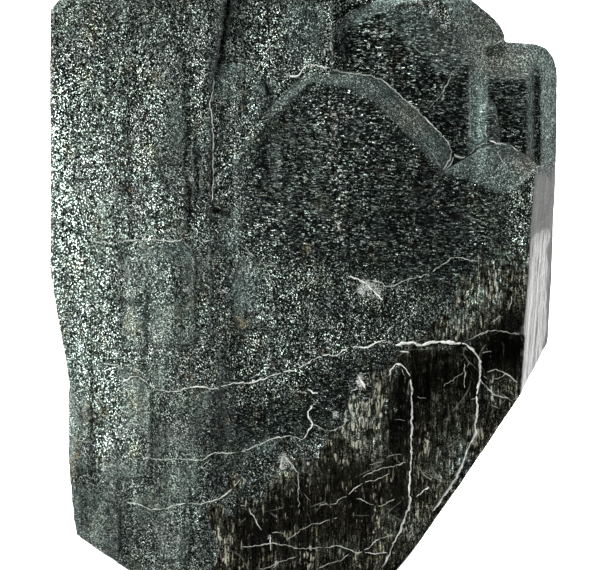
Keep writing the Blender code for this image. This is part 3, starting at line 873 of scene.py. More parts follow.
def paintFields(piece):
    places = readPoints(piece)
    u, v = toSheet(places)
    inFront = smooth(places[:, 1], *painting["frontOnly"])
    # left of the arch the tone is raised, partly as painted light falling from the left
    tone = painting["tone"] + painting["leftPaleAndLit"] * smooth(u, *painting["leftEnd"]) * inFront
    tone += painting["backTone"] * (1 - inFront) + blots(u, v, toneAndLightBlots) * inFront
    rough = painting["rough"] + painting["rightRough"] * smooth(u, *painting["rightStart"]) * inFront
    rough += layers((u, v), painting["roughNoise"]) + blots(u, v, roughPatches) * inFront
    for outline, rise, soft in growths:
        ring = outline + [outline[0]]
        # painted shade: a dark line round each low crystal; inside it the tone is a little lighter
        tone *= 1 - painting["growthShade"] * stroke(u, v, ring, painting["growthRim"]) * inFront
        tone *= 1 + painting["growthGlow"] * zone(u, v, outline, painting["rimSoft"]) * inFront
        rough -= painting["growthCalm"] * zone(u, v, outline, painting["calmSoft"]) * inFront
    tone *= 1 + layers((u, v), painting["toneNoise"])
    tone *= 1 + layers((u, v), [painting["toneDrift"]])
    writeField(piece, "tone", np.clip(tone, *painting["toneRange"]))
    writeField(piece, "rough", np.clip(rough, 0, painting["roughMost"]))
    writeField(piece, "smoothSkin", zones(u, v, smoothSkins, painting["skinSoft"]) * inFront)
    writeField(piece, "cream", zones(u, v, creamFibres, painting["creamSoft"]) * inFront)
    ribAreas = [(outline, darkness) for outline, rise, darkness in ribs]
    writeField(piece, "ribbed", zones(u, v, ribAreas, painting["ribSoft"]) * inFront)
    writeField(piece, "ribs", smooth(ribPattern(places), *painting["ribRange"]))
    writeField(piece, "regrown", regrown(u, v) * inFront)
    writeField(piece, "paintedFacetLight", blots(u, v, paintedFacetLights) * inFront)
    for name, spots in (("warm", warmBlots), ("dull", dullBlots), ("ochre", ochreBlots), ("dust", dustBlots),
                        ("quiet", quietBlots)):
        writeField(piece, name, np.clip(blots(u, v, spots) * inFront, 0, 1))
    writeField(piece, "blackAndShade", np.clip(blots(u, v, blackAndShadeBlots), 0, 1))


for piece in pieces.values():
    paintFields(piece)
report("fields painted")


# A socket that can be used in sums.
class Wire:
    tree = None            # the material being wired

    def __init__(self, socket):
        self.socket = socket

    def __add__(self, other):
        return combine("ADD", self, other)

    def __radd__(self, other):
        return combine("ADD", other, self)

    def __sub__(self, other):
        return combine("SUBTRACT", self, other)

    def __rsub__(self, other):
        return combine("SUBTRACT", other, self)

    def __mul__(self, other):
        return combine("MULTIPLY", self, other)

    def __rmul__(self, other):
        return combine("MULTIPLY", other, self)

    def __pow__(self, other):
        return combine("POWER", self, other)

    def __rpow__(self, other):
        return combine("POWER", other, self)


def node(kind, settings=(), sockets=(), outlet=0):
    made = Wire.tree.nodes.new("ShaderNode" + kind)
    for setting, value in dict(settings).items():
        setattr(made, setting, value)
    for socket, value in dict(sockets).items():
        if isinstance(value, Wire):
            Wire.tree.links.new(value.socket, made.inputs[socket])
        else:
            made.inputs[socket].default_value = value
    return Wire(made.outputs[outlet]) if made.outputs else None


def combine(operation, first, second):
    return node("Math", {"operation": operation}, {0: first, 1: second})


def field(name):
    return node("Attribute", {"attribute_name": name}, outlet="Fac")


def ramp(value, low, high):
    return node("MapRange", {"interpolation_type": "SMOOTHSTEP"},
                {"Value": value, "From Min": low, "From Max": high})


def blend(share, first, second):
    return node("Mix", {"data_type": "RGBA"}, {0: share, 6: first, 7: second}, outlet=2)


# A colour made brighter or darker by a value.
def shade(colour, value):
    grey = node("CombineColor", sockets={"Red": value, "Green": value, "Blue": value})
    return node("Mix", {"data_type": "RGBA", "blend_type": "MULTIPLY"}, {0: 1.0, 6: colour, 7: grey},
                outlet=2)


# Object coordinates divided by a real size in millimetres, after a turn about Y.
def objectSpace(size, tall=1.0, wide=1.0, turn=0.0, warp=0.0):
    spot = node("TexCoord", outlet="Object")
    if warp:
        drift = node("TexNoise", sockets={"Vector": spot, "Scale": 1 / (3 * size * mm), "Detail": 1.0},
                     outlet="Color")
        drift = node("VectorMath", {"operation": "SUBTRACT"}, {0: drift, 1: (0.5, 0.5, 0.5)})
        drift = node("VectorMath", {"operation": "SCALE"}, {0: drift, "Scale": warp * size * mm})
        spot = node("VectorMath", {"operation": "ADD"}, {0: spot, 1: drift})
    return node("Mapping", {"vector_type": "TEXTURE"}, {
        "Vector": spot, "Rotation": (0, turn, 0), "Scale": (size * mm * wide, size * mm, size * mm * tall)})


# Noise whose lumps are size millimetres wide, and tall or wide times longer.
def grain(size, detail=2.0, roughness=0.6, tall=1.0, wide=1.0):
    return node("TexNoise", sockets={
        "Vector": objectSpace(size, tall, wide), "Scale": 1.0, "Detail": detail, "Roughness": roughness})


# Grains with one random value each: two values of the same grain.
def grains(size, tall=1.0, wide=1.0, turn=0.0, warp=0.6):
    spot = objectSpace(size, tall, wide, turn, warp)
    colour = node("TexVoronoi", sockets={"Vector": spot, "Scale": 1.0}, outlet="Color")
    return [node("SeparateColor", sockets={"Color": colour}, outlet=part) for part in ("Red", "Green")]


# Thin cracks between blocks of a size, as a value that is 1 on the crack.
def cracks(size, width, warp):
    spot = objectSpace(size, wide=1.6, turn=0.35, warp=warp)
    gap = node("TexVoronoi", {"feature": "DISTANCE_TO_EDGE"}, {"Vector": spot, "Scale": 1.0},
               outlet="Distance")
    return 1 - ramp(gap, width * 0.4 / size, width / size)


stoneLook = {
    "skin": (0.65, 1.0, 0.85, 1),        # tints, multiplied by the tone
    "purplish": (0.77, 1.0, 0.94, 1),
    "olive": (0.90, 1.0, 0.60, 1),
    "speck": (0.90, 1.0, 0.92, 1),
    "bluish": (0.74, 1.0, 0.93, 1),
    "brownish": (0.98, 1.0, 0.86, 1),
    "fresh": (1.0, 0.97, 0.68, 1),
    "ochre": (0.60, 0.54, 0.34, 1),
    "cream": (0.60, 0.58, 0.46, 1),
    "dust": (0.66, 0.69, 0.65, 1),
    "vein": (0.50, 0.52, 0.46, 1),
    # painted reflection of the prism face
    "prismReflection": (0.25, 0.255, 0.245, 1),
    "freshTone": 0.0045,
    "facetTone": 0.088,
    "skinTone": 0.120,
    "contrast": 400.0,                   # how many times brighter the palest grain is than the darkest
    "skinGloss": 1.12,                   # index of refraction
    "facetGloss": 1.22,
}
grainSizes = {                           # widths in millimetres
    "fine": 0.36,
    "coarse": 2.6,
    "streak": 0.8,
    "column": 3.0,
    "patch": 7.0,
    "speck": 0.26,
    "lump": 1.3,
    "brick": 2.6,
    "level": 0.30,
    "fibre": 0.38,
    "purplePatch": 11.0,
    "olivePatch": 8.0,
    "crackPatch": 9.0,
    "crack": 19.0,
    "crackWidth": 0.20,
}
fades = {                                # values between which each of these fades in
    "pick": (0.46, 0.54),
    "level": (0.0, 0.3),
    "fresh": (0.38, 0.62),
    "purplish": (0.45, 0.62),
    "olive": (0.54, 0.70),
    "speck": (1.0, 4.0),
    "again": (0.52, 0.78),
    "column": (0.45, 0.65),
    "paintedGlint": (1.24, 1.34),
    "crack": (0.50, 0.60),
    "ochre": (0.80, 0.88),
    "cream": (0.80, 0.88),
    "dust": (0.70, 0.84),
    "edge": (0.46, 0.70),
}


def startMaterial(name):
    material = bpy.data.materials.new(name)
    material.use_nodes = True
    Wire.tree = material.node_tree
    Wire.tree.nodes.clear()
    return material


def makeStone():
    material = startMaterial("tantaliteStone")
    tone, facet, edge = field("tone"), field("facet"), field("edge")
    smoothSkin, ribbed, warm = field("smoothSkin"), field("ribbed"), field("warm")
    sizes = grainSizes
    fine = grain(sizes["fine"], roughness=0.75)
    coarse = grain(sizes["coarse"])
    streak = grain(sizes["streak"], tall=14.0)
    column = grain(sizes["column"], tall=12.0)
    pick = ramp(grain(sizes["patch"], 1.0), *fades["pick"])
    upright, tilted = grains(sizes["speck"], tall=1.3), grains(sizes["speck"], wide=1.3, turn=0.7)
    bigShare, bigGlow = grains(sizes["lump"], tall=1.5, warp=1.0)
    brick = grains(sizes["brick"], tall=2.2)[0]
    levelShare = grains(sizes["level"], wide=3.5, turn=0.05)[0]
    share, glow = [first * pick + second * (1 - pick) for first, second in zip(upright, tilted)]
    level = ramp(ribbed, *fades["level"]) * 0.75
    share = share * (1 - level) + levelShare * level
    fibre, fibreGlow = grains(sizes["fibre"], tall=7.0, warp=0.3)
    bare = ramp(field("fresh") + 0.8 * (coarse - 0.5), *fades["fresh"])
    facet = facet * (1 - field("dull"))
    calm = node("Clamp", sockets={"Value": facet + smoothSkin})

    # grainy skin: every grain is many times brighter or darker than its neighbour, partly the grains' own tone
    # and partly painted glints and painted shade of the fine relief
    power = share * 1.35 + bigShare * 0.02 + fine * 0.50 + coarse * 0.04 - 1.02
    span = 0.45 + 1.1 * field("rough")
    sparkle = stoneLook["contrast"] ** (power * span) * 7.4 ** (1 - span)
    # painted shade: darker in the rib troughs and lighter on their crests, and darker in the carved grooves
    sparkle = sparkle * 5 ** ((field("ribs") - 0.6) * ribbed) * (1 - 0.7 * field("groove"))
    skinTone = tone * sparkle * (0.6 + 0.8 * column) * 1.2 ** (brick - 0.5) * stoneLook["skinTone"]
    purple = ramp(grain(sizes["purplePatch"]), *fades["purplish"])
    tint = blend(purple, stoneLook["skin"], stoneLook["purplish"])
    tint = blend(ramp(grain(sizes["olivePatch"], 3.0), *fades["olive"]), tint, stoneLook["olive"])
    tint = blend(ramp(sparkle, *fades["speck"]) * 0.7, tint, stoneLook["speck"])
    skin = shade(tint, skinTone)

    # smooth facets
    calmTone = stoneLook["facetTone"] * (0.45 + 0.7 * coarse + 0.4 * fine) * 130 ** (share - 0.58)
    # painted light: chosen smooth faces are made paler where they catch the light
    calmTone = calmTone * (1 + 0.5 * warm) * (1 + field("paintedFacetLight"))
    calmTint = blend(warm, stoneLook["bluish"], stoneLook["brownish"])
    skin = blend(calm * 0.78, skin, shade(calmTint, calmTone))

    # fresh break: dark upright fibres with painted glints as pale flecks
    again = field("regrown") * ramp(coarse + 0.4 * streak, *fades["again"])
    quiet = field("quiet") * (1 - field("cream"))
    fibrePower = fibre * 0.5 + share * 0.75 + streak * 0.4 + coarse * 0.1 - 0.90
    fibreSparkle = stoneLook["contrast"] ** (fibrePower * (1 - 0.6 * quiet)) * 0.55 ** quiet
    freshTone = stoneLook["freshTone"] + 0.010 * ramp(column, *fades["column"]) + 0.062 * again
    # painted glints on the fibres of the break
    paintedGlints = 0.30 * ramp(fibre * 0.7 + 1.2 * coarse, *fades["paintedGlint"]) * fibreGlow * fibreGlow
    freshTone = freshTone * fibreSparkle + paintedGlints
    # painted shade: the blackest parts of the break are darkened further
    freshTone = freshTone * (1 - 0.94 * field("blackAndShade"))
    colour = blend(bare * (1 - facet), skin, shade(blend(again, stoneLook["fresh"], tint), freshTone))
    visible = ramp(grain(sizes["crackPatch"], 3.0), *fades["crack"]) * (0.04 + 0.16 * bare)
    crack = cracks(sizes["crack"], sizes["crackWidth"], 3.0)
    colour = blend(crack * visible, colour, stoneLook["vein"])
    # painted reflection: the prism face is the same black stone, painted pale grey with streaks where it
    # reflects the light from the right
    prismReflection = shade(stoneLook["prismReflection"], 0.35 + 0.75 * streak + 0.35 * (share - 0.5))
    prism = field("prism")
    colour = blend(prism * 0.9, colour, prismReflection)

    # specks and dust of other minerals
    ochreShare = field("ochre") * 0.45 + bigShare * 0.25 + share * 0.25 + fine * 0.2
    ochreShare = ramp(ochreShare, *fades["ochre"])
    colour = blend(ochreShare * 0.8, colour, shade(stoneLook["ochre"], 1.6 * bigGlow * glow))
    creamShare = ramp(field("cream") * 0.5 + fibre * 0.5 + 1.1 * (coarse - 0.5), *fades["cream"])
    colour = blend(creamShare * (0.15 + 0.7 * fibreGlow), colour, stoneLook["cream"])
    dustShare = field("dust") * 0.34 + share * 0.3 + bigShare * 0.2 + fine * 0.35
    dustShare = ramp(dustShare, *fades["dust"])
    colour = blend(dustShare * (0.35 + 0.65 * glow), colour, stoneLook["dust"])
    # painted highlight: a thin line of dust colour along the convex edges
    colour = blend(edge * ramp(coarse, *fades["edge"]) * 0.18, colour, stoneLook["dust"])

    # gloss and the finest relief
    roughness = 0.54 - 0.06 * calm - 0.30 * bare + 0.25 * (fine - 0.5) + 0.06 * prism
    height = (fine * 0.35 + glow * 0.15 + bigGlow * 0.15) * (1 - 0.85 * calm) * (1 - 0.8 * bare)
    height = height + coarse * 0.25 * (1 - 0.7 * calm)
    height = (height + streak * 0.5 * bare + streak * 0.12) * (1 - 0.75 * prism)
    bump = node("Bump", sockets={"Strength": 0.6, "Distance": 0.0009, "Height": height})
    surfaces = [node("BsdfPrincipled", sockets={
        "Base Color": colour, "Roughness": roughness, "IOR": gloss, "Normal": bump})
        for gloss in (stoneLook["skinGloss"], stoneLook["facetGloss"])]
    surface = node("MixShader", sockets={0: facet, 1: surfaces[0], 2: surfaces[1]})
    node("OutputMaterial", sockets={"Surface": surface})
    return material


stone = makeStone()
for piece in pieces.values():
    piece.data.materials.clear()
    piece.data.materials.append(stone)
    piece.data.shade_smooth()
    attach(piece, "root")
    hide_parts("tantalite_crystal")
report("stone material")


# Thin pale veins and crusts that follow cracks and crystal edges: (width in squares, points on the sheet). Some
# lines along crystal edges and panel rims are partly painted highlight where those edges catch the light.
veinAndHighlightLines = [
    (1.3, [(85, 238), (100, 242), (115, 242), (130, 241), (145, 239), (165, 241), (177, 241), (185, 238)]),
    (1.0, [(182, 242), (190, 248), (196, 258)]),
    (1.3, [(196, 233), (201, 242), (205, 247)]),
    (1.0, [(201, 241), (210, 241), (218, 240)]),
    (1.4, [(121, 384), (127, 379), (137, 376), (143, 380), (150, 386), (160, 390), (170, 392), (180, 391),
           (188, 387), (202, 387), (212, 389), (220, 387)]),
    (1.4, [(220, 387), (237, 383), (253, 382), (269, 377), (285, 371), (299, 369), (311, 361), (321, 355)]),
    (1.6, [(321, 355), (335, 355), (343, 351), (352, 347), (367, 347), (376, 343), (384, 341), (393, 343)]),
    (1.1, [(376, 343), (384, 339), (388, 331), (393, 324)]),
    (1.2, [(142, 458), (160, 459), (180, 459), (200, 460), (207, 457), (215, 453), (235, 452), (245, 450),
           (255, 446), (270, 440), (280, 437), (290, 436), (297, 438), (303, 440), (307, 433), (312, 425)]),
    (1.2, [(125, 502), (140, 505), (150, 509), (163, 509), (175, 505), (190, 503), (205, 503), (215, 500),
           (225, 495), (232, 488), (240, 478)]),
    (1.2, [(102, 363), (113, 364), (119, 367), (116, 378)]),
    (0.9, [(125, 285), (130, 290), (145, 291)]),
    (0.9, [(238, 243), (250, 253), (258, 260), (264, 265), (278, 265)]),
    (0.8, [(264, 265), (268, 272), (272, 285), (279, 295)]),
    (2.0, [(347, 276), (357, 279), (365, 283), (375, 292), (384, 302)]),
    (1.0, [(370, 279), (380, 283), (390, 287), (400, 282), (412, 279), (425, 275), (437, 268), (447, 262),
           (453, 257), (460, 258), (480, 262)]),
    (0.9, [(511, 293), (511, 302), (509, 308), (505, 315), (498, 317), (491, 324), (488, 330), (481, 335),
           (470, 338), (464, 342)]),
    (1.1, [(464, 342), (476, 336), (488, 331), (502, 331), (512, 333), (521, 334)]),
    (0.9, [(480, 354), (487, 352), (494, 352)]),
    (1.0, [(481, 374), (488, 379), (499, 378), (507, 374), (518, 383)]),
    (1.2, [(480, 380), (488, 388), (498, 396), (510, 399)]),
    (1.0, [(489, 405), (494, 406), (500, 409)]),
    (0.9, [(361, 477), (369, 474), (381, 468), (395, 466), (407, 462)]),
    (0.6, [(366, 465), (380, 462), (391, 456), (405, 453)]),
    (1.0, [(317, 505), (332, 504), (341, 499), (350, 493), (361, 484), (376, 480), (385, 476), (391, 474)]),
    (0.7, [(302, 492), (308, 499), (317, 505)]),
    (0.8, [(341, 499), (360, 499), (369, 503), (376, 506), (385, 504), (396, 499)]),
    (0.9, [(286, 541), (294, 535), (301, 530), (311, 525), (322, 522), (332, 519), (339, 518)]),
    (1.0, [(240, 547), (259, 546), (270, 543), (282, 545), (291, 547), (303, 549), (317, 548), (329, 547),
           (339, 546), (348, 549), (355, 552), (363, 552)]),
    (1.0, [(363, 552), (367, 549), (376, 541), (385, 537), (395, 534)]),
    (1.2, [(363, 552), (373, 554), (389, 553)]),
    (0.8, [(256, 569), (266, 568), (276, 564), (291, 558), (301, 556)]),
    (0.9, [(317, 569), (328, 563), (339, 561), (350, 554)]),
    (0.8, [(267, 533), (274, 532), (282, 533), (287, 538)]),
    (1.4, [(270, 534), (271, 543), (271, 551)]),
    (1.0, [(248, 506), (252, 514), (256, 521), (263, 532)]),
    (0.5, [(242, 490), (250, 486), (269, 485)]),
    (0.7, [(200, 563), (209, 567), (216, 569)]),
    (1.2, [(239, 505), (243, 506), (247, 508)]),
    (0.5, [(440, 389), (454, 379), (466, 369), (470, 360)]),
    (0.5, [(414, 397), (424, 398), (435, 397)]),
    (0.7, [(418, 468), (425, 475), (433, 481)]),
    (0.9, [(485, 372), (497, 370), (509, 376), (519, 384)]),
    (0.6, [(478, 360), (483, 348), (490, 340)]),
    (0.6, [(473, 326), (477, 334), (485, 346)]),
    (1.6, [(306, 389), (312, 392), (320, 393)]),
    (0.9, [(308, 425), (315, 425), (325, 430), (334, 430), (344, 424), (352, 418)]),
    (2.2, [(357, 373), (361, 381), (366, 389)]),
    (1.4, [(349, 392), (353, 390), (358, 388)]),
    (1.6, [(313, 404), (308, 413), (312, 425), (306, 433)]),
    (0.45, [(375, 173), (390, 176), (410, 177)]),
    (0.45, [(252, 219), (275, 219), (292, 222)]),
    (0.7, [(393, 366), (391, 374), (389, 384)]),
    (0.8, [(399, 366), (404, 374), (407, 384)]),
    (0.5, [(386, 420), (398, 419), (408, 420)]),
    (1.0, [(289, 437), (296, 441), (297, 450), (292, 455)]),
    (1.6, [(416, 498), (422, 492), (429, 486)]),
    # the next lines follow the rims of the broken panels: partly pale crust, partly painted highlight on their
    # lit top and right bevels
    (3.6, [(396, 346), (400, 344), (413, 343), (420, 345), (430, 343), (440, 342), (462, 343)]),
    (4.6, [(462, 343), (468, 347), (475, 353), (479, 361), (480, 371), (479, 385), (477, 395)]),
    (3.6, [(477, 395), (477, 410), (475, 425), (475, 433), (469, 446), (463, 462), (456, 478), (444, 495),
           (432, 512)]),
    (2.0, [(399, 351), (404, 352), (410, 352)]),
    (1.8, [(388, 377), (393, 367), (397, 363), (403, 366), (408, 372), (411, 378)]),
    (3.0, [(411, 378), (411.5, 400), (411.5, 430), (411, 457), (409, 487), (410, 501), (406, 515), (399, 532),
           (391, 549), (383, 567)]),
    (1.4, [(280, 470), (283, 456), (290, 463), (296, 470), (298, 479), (299, 515)]),
    (0.8, [(464, 362), (465, 380), (464, 398)]),
    (1.1, [(468, 400), (472, 399), (477, 397)]),
    (1.6, [(216, 72), (214, 80), (213, 92), (210, 100), (211, 112), (212, 125), (213, 140), (213, 160),
           (213, 180), (211, 205)]),
    (1.3, [(203, 207), (213, 206), (222, 209)]),
    (0.9, [(212, 102), (220, 102), (228, 102)]),
    (0.9, [(200, 118), (206, 118), (211, 118)]),
    (1.2, [(262, 58), (267, 50), (273, 46), (280, 48)]),
    (1.0, [(252, 75), (258, 67), (263, 58)]),
    (1.0, [(271, 76), (271.5, 84), (271, 88)]),
    (0.9, [(271, 125), (276, 132), (282, 140)]),
    # the lines along the arch's outer edge and the upright crystal edges to its right are partly painted
    # highlight where those edges catch the light
    (1.4, [(331, 70), (344, 73), (355, 74), (371, 76), (384, 82), (399, 95), (411, 105), (426, 119), (437, 130),
           (445, 139), (450, 148), (450, 158), (442, 171)]),
    (0.6, [(375, 97), (387, 112), (396, 124)]),
    (0.7, [(421, 140), (433, 155), (441, 168)]),
    (0.7, [(486, 84), (486.5, 100), (486, 120)]),
    (0.7, [(470, 84), (470, 110), (470, 140)]),
    (0.8, [(531, 74), (531.5, 100), (531, 140), (531, 158)]),
    (0.45, [(385, 22), (402, 36), (420, 52), (440, 70)]),
    (1.6, [(288, 76), (295, 77), (300, 73), (304, 68), (308, 65), (316, 65), (324, 67), (331, 68)]),
    (0.8, [(325, 32), (331, 26), (337, 22), (343, 17), (350, 12), (358, 8)]),
    (1.0, [(341, 71), (348, 73), (353, 71)]),
    (0.9, [(469, 60), (462, 64), (456, 68), (452, 73), (450, 78), (447, 85), (438, 98), (429, 110)]),
    (1.2, [(504, 39), (496, 44), (487, 48)]),
    (0.8, [(487, 48), (479, 50), (471, 50), (460, 52)]),
    (1.6, [(443, 171), (448, 167), (452, 160), (454, 156)]),
    (2.6, [(453, 154), (457, 157), (463, 158), (467, 156)]),
    (1.2, [(467, 156), (473, 150), (481, 145), (487, 142)]),
    (1.8, [(487, 141), (492, 142), (497, 143), (507, 144)]),
    (1.2, [(507, 144), (513, 147), (521, 152)]),
    (1.2, [(487, 141), (486, 132), (486, 122)]),
    (0.8, [(497, 151), (502, 162), (507, 173)]),
    (0.9, [(398, 118), (403, 111), (407, 108)]),
    (1.0, [(531, 180), (532, 192), (530, 206)]),
]
veins = {
    "step": 1.2,           # squares between points
    "breadth": 0.85,       # makes every vein wider or thinner
    "wander": 0.75,        # sideways wiggle, in squares, in layers of (length, seed's factor, share)
    "wiggles": [((3.0,), 3, 1.0), ((1.2,), 5, 0.6)],
    "swells": [((5.0,), 7, 0.45), ((1.6,), 11, 0.35)],   # changes of width, in the same way
    "leanest": 0.8,        # width before the swells
    "taper": 4,            # points over which its ends grow thin
    "sunk": 0.25,          # share of the thickness that lies in the stone
    "lean": 0.5,           # thickness against width
    "least": 0.28,         # a vein breaks off where it is narrower than this, in squares
    "gap": 1.6,            # and where the surface steps by more than this, in millimetres
    "ring": 6,             # points round a vein
    "tip": 0.3,            # size of its ends
    "paleWidths": (0.2, 2.0),
    "crust": (0.36, 0.62),
    "colour": (0.93, 0.95, 0.90, 1),
    "darkColour": (0.30, 0.32, 0.27, 1),
}


# Points at even steps along a smooth line through the given ones.
def evenLine(points):
    points = np.array(points, float)
    padded = np.vstack([2 * points[0] - points[1], points, 2 * points[-1] - points[-2]])
    line = []
    for index in range(len(points) - 1):
        a, b, c, d = padded[index:index + 4]
        count = max(2, int(np.hypot(*(c - b)) / veins["step"]))
        for step in range(count):
            t = step / count
            line.append(0.5 * (2 * b + (c - a) * t + (2 * a - 5 * b + 4 * c - d) * t ** 2
                               + (3 * b - a - 3 * c + d) * t ** 3))
    return np.array(line + [points[-1]])


def surfaceTrees():
    trees = []
    for piece in pieces.values():
        places = readPoints(piece)
        faces = [list(face.vertices) for face in piece.data.polygons]
        trees.append(BVHTree.FromPolygons(places.tolist(), faces))
    return trees


# The nearest surface point that is seen from the camera's place through one place on the sheet.
def onSurface(trees, u, v):
    aim = Vector(((u - sheet["middleU"]) * sheet["square"], sheet["reach"],
                  (sheet["middleV"] - v) * sheet["square"])).normalized()
    hits = [tree.ray_cast(Vector(eye), aim) for tree in trees]
    hits = [hit for hit in hits if hit[0] is not None]
    return min(hits, key=lambda hit: hit[3]) if hits else None


# Lays one vein on the surface as a row of ring sections, broken wherever the surface steps away.
def layVein(trees, width, points, seed):
    line = evenLine(points)
    index = np.arange(len(line), dtype=float)
    for axis, (length, factor, share) in itertools.product((0, 1), veins["wiggles"]):
        line[:, axis] += veins["wander"] * noise((index,), length, seed * factor + axis) * share
    swell = layers((index,), [(length, seed * factor, share) for length, factor, share in veins["swells"]])
    breadth = width * veins["breadth"] * (veins["leanest"] + swell)
    breadth *= smooth(index, -1, veins["taper"]) * smooth(-index, -len(line), veins["taper"] - len(line))
    strips, strip = [], []
    for (u, v), wide in zip(line, breadth):
        hit = onSurface(trees, u, v)
        visible = hit is not None and wide >= veins["least"]
        if not visible or (strip and (hit[0] - strip[-1][0]).length > veins["gap"]):
            strips.append(strip)
            strip = []
        if visible:
            strip.append((hit[0], hit[1], wide * sheet["square"] / 2))
    strips.append(strip)
    return [strip for strip in strips if len(strip) > 3]


def makeVeins():
    trees = surfaceTrees()
    corners, faces, pale = [], [], []
    ring = veins["ring"]
    for seed, (width, points) in enumerate(veinAndHighlightLines):
        for strip in layVein(trees, width, points, seed + 1):
            start = len(corners)
            for index, (point, normal, half) in enumerate(strip):
                before, after = strip[max(index - 1, 0)][0], strip[min(index + 1, len(strip) - 1)][0]
                along = (after - before).normalized()
                across = along.cross(normal).normalized()
                up = across.cross(along).normalized()
                thick = half * veins["lean"]
                shrink = veins["tip"] if index in (0, len(strip) - 1) else 1
                pale += [width] * ring
                for corner in range(ring):
                    turn = 2 * math.pi * corner / ring
                    corners.append(point + across * half * math.cos(turn) * shrink
                                   + up * thick * (math.sin(turn) * shrink + 1 - 2 * veins["sunk"]))
            for first in range(start, start + (len(strip) - 1) * ring, ring):
                for corner in range(ring):
                    a, b = first + corner, first + (corner + 1) % ring
                    faces.append((a, b, b + ring, a + ring))
            faces.append(tuple(start + corner for corner in reversed(range(ring))))
            last = start + (len(strip) - 1) * ring
            faces.append(tuple(last + corner for corner in range(ring)))
    mesh = bpy.data.meshes.new("paleVeinAndHighlights")
    mesh.from_pydata([corner * mm for corner in corners], [], faces)
    made = bpy.data.objects.new("paleVeinAndHighlights", mesh)
    bpy.context.scene.collection.objects.link(made)
    deselectAll()
    made.select_set(True)
    bpy.context.view_layer.objects.active = made
    bpy.ops.object.mode_set(mode="EDIT")
    bpy.ops.mesh.select_all(action="SELECT")
    bpy.ops.mesh.normals_make_consistent(inside=False)
    bpy.ops.object.mode_set(mode="OBJECT")
    mesh.shade_smooth()
    writeField(made, "pale", smooth(np.array(pale), *veins["paleWidths"]))
    print("paleVeinAndHighlights", len(faces), "faces")
    return made


def makeVeinStone():
    material = startMaterial("paleVeinAndHighlight")
    coarse, fine = grain(1.6), grain(0.5)
    pale = field("pale")
    share = ramp(coarse + 0.3 * (pale - 0.5), *veins["crust"]) * (0.25 + 0.75 * pale)
    colour = blend(share, veins["darkColour"], veins["colour"])
    bump = node("Bump", sockets={"Strength": 0.4, "Distance": 0.0003, "Height": fine})
    surface = node("BsdfPrincipled", sockets={
        "Base Color": colour, "Roughness": 0.55 + 0.2 * (fine - 0.5), "IOR": 1.5, "Normal": bump})
    node("OutputMaterial", sockets={"Surface": surface})
    return material


paleVeinAndHighlights = makeVeins()
paleVeinAndHighlights.data.materials.append(makeVeinStone())
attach(paleVeinAndHighlights, "root")
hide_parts("tantalite_crystal")
pieces["paleVeinAndHighlights"] = paleVeinAndHighlights
report("veins laid")


# Every piece moves to stand over the origin, within the solid's box.
for piece in pieces.values():
    piece.data.transform(Matrix.Translation([part * mm for part in specimen["seat"]]))
report("specimen seated")

# Floor that curves up into a backdrop, lights and camera.
studio = {
    "floorFront": -3.0,
    "bendStart": 2.2,
    "wall": 3.0,
    "wallTop": 3.0,
    "halfWidth": 4.0,
    "bendSteps": 16,
    "paperRough": 0.9,
    "paper": ((0.42, 0.42, 0.42, 1), (0.45, 0.45, 0.45, 1)),
    "worldGrey": 0.015,
    "sensor": 36,          # millimetres
    "seen": (0.01, 20),    # nearest and farthest that the camera sees
    "aim": (0, 0, 0.11),   # middle of the specimen
}
# Name, place, size, watts, aim, and spread in degrees.
lights = [
    ("keyLeft", (-1.0, -0.40, 0.40), (0.5, 0.6), 3.4, studio["aim"], 70),
    ("top", (-0.05, 0.0, 0.95), (1.3, 0.9), 4.2, studio["aim"], 110),
    ("backRight", (1.2, 0.35, 0.3), (0.9, 0.9), 1.9, studio["aim"], 180),
    ("fillRight", (0.9, -0.5, 0.4), (0.6, 0.8), 0.7, studio["aim"], 60),
    ("wallLight", (0.0, 1.6, 2.0), (3.0, 1.2), 400, (0, 1.9, 0), 100),
]
deselectAll()
bpy.ops.mesh.primitive_plane_add(size=1, location=(0, (studio["floorFront"] + studio["wall"]) / 2, 0))
backdrop = bpy.context.object
backdrop.name = "backdrop"
backdrop.scale = (2 * studio["halfWidth"], studio["wall"] - studio["floorFront"], 1)
bpy.ops.object.transform_apply(location=True, rotation=True, scale=True)
bpy.ops.object.mode_set(mode="EDIT")
bpy.ops.mesh.select_all(action="DESELECT")
bpy.ops.object.mode_set(mode="OBJECT")
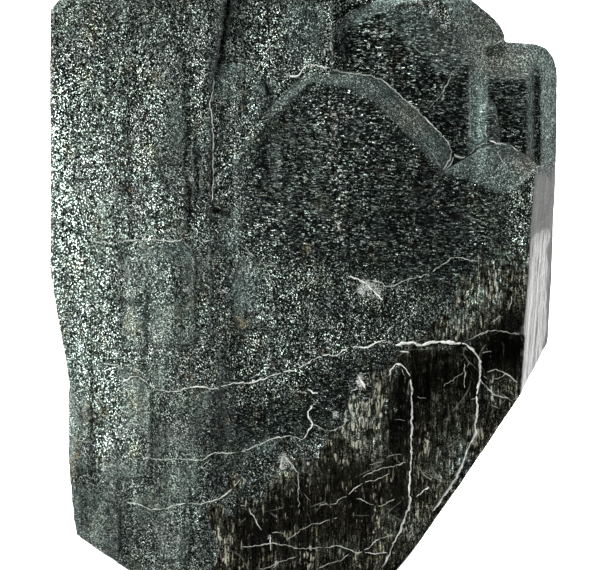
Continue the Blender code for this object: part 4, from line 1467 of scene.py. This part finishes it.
for line in backdrop.data.edges:
    line.select = all(backdrop.data.vertices[end].co.y > studio["bendStart"] for end in line.vertices)
bpy.ops.object.mode_set(mode="EDIT")
bpy.ops.mesh.select_mode(type="EDGE")
bpy.ops.mesh.extrude_region_move(TRANSFORM_OT_translate={"value": (0, 0, studio["wallTop"])})
bpy.ops.object.mode_set(mode="OBJECT")
applyModifier(backdrop, "sweep", "BEVEL", width=studio["wall"] - studio["bendStart"],
              segments=studio["bendSteps"])
backdrop.data.shade_smooth()
paper = startMaterial("palePaper")
paperColour = blend(grain(3.0), *studio["paper"])
surface = node("BsdfPrincipled", sockets={"Base Color": paperColour, "Roughness": studio["paperRough"]})
node("OutputMaterial", sockets={"Surface": surface})
backdrop.data.materials.append(paper)


def softbox(name, place, size, power, aim, spread):
    bpy.ops.object.light_add(type="AREA", location=place)
    light = bpy.context.object
    light.name = name
    light.data.shape = "RECTANGLE"
    light.data.size, light.data.size_y = size
    light.data.energy = power
    light.data.spread = math.radians(spread)
    light.rotation_euler = (Vector(aim) - Vector(place)).to_track_quat("-Z", "Y").to_euler()


for row in lights:
    softbox(*row)

world = bpy.data.worlds.new("studio")
world.use_nodes = True
bpy.context.scene.world = world
Wire.tree = world.node_tree
Wire.tree.nodes.clear()
grey = studio["worldGrey"]
shadeLight = node("Background", sockets={"Color": (grey, grey, grey, 1)})
shownLight = node("Background", sockets={"Color": (1, 1, 1, 1)})
shown = node("LightPath", outlet="Is Camera Ray")
node("OutputWorld", sockets={"Surface": node("MixShader", sockets={0: shown, 1: shadeLight, 2: shownLight})})

bpy.ops.object.camera_add(location=[(part + shift) * mm for part, shift in zip(eye, specimen["seat"])],
                          rotation=(math.radians(90), 0, 0))
camera = bpy.context.object
camera.name = "camera"
camera.data.sensor_width = studio["sensor"]
camera.data.lens = studio["sensor"] * sheet["reach"] / (sheet["width"] * sheet["square"])
camera.data.clip_start, camera.data.clip_end = studio["seen"]
bpy.context.scene.camera = camera
bpy.context.scene.view_settings.view_transform = "Standard"

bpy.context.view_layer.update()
report("finished")
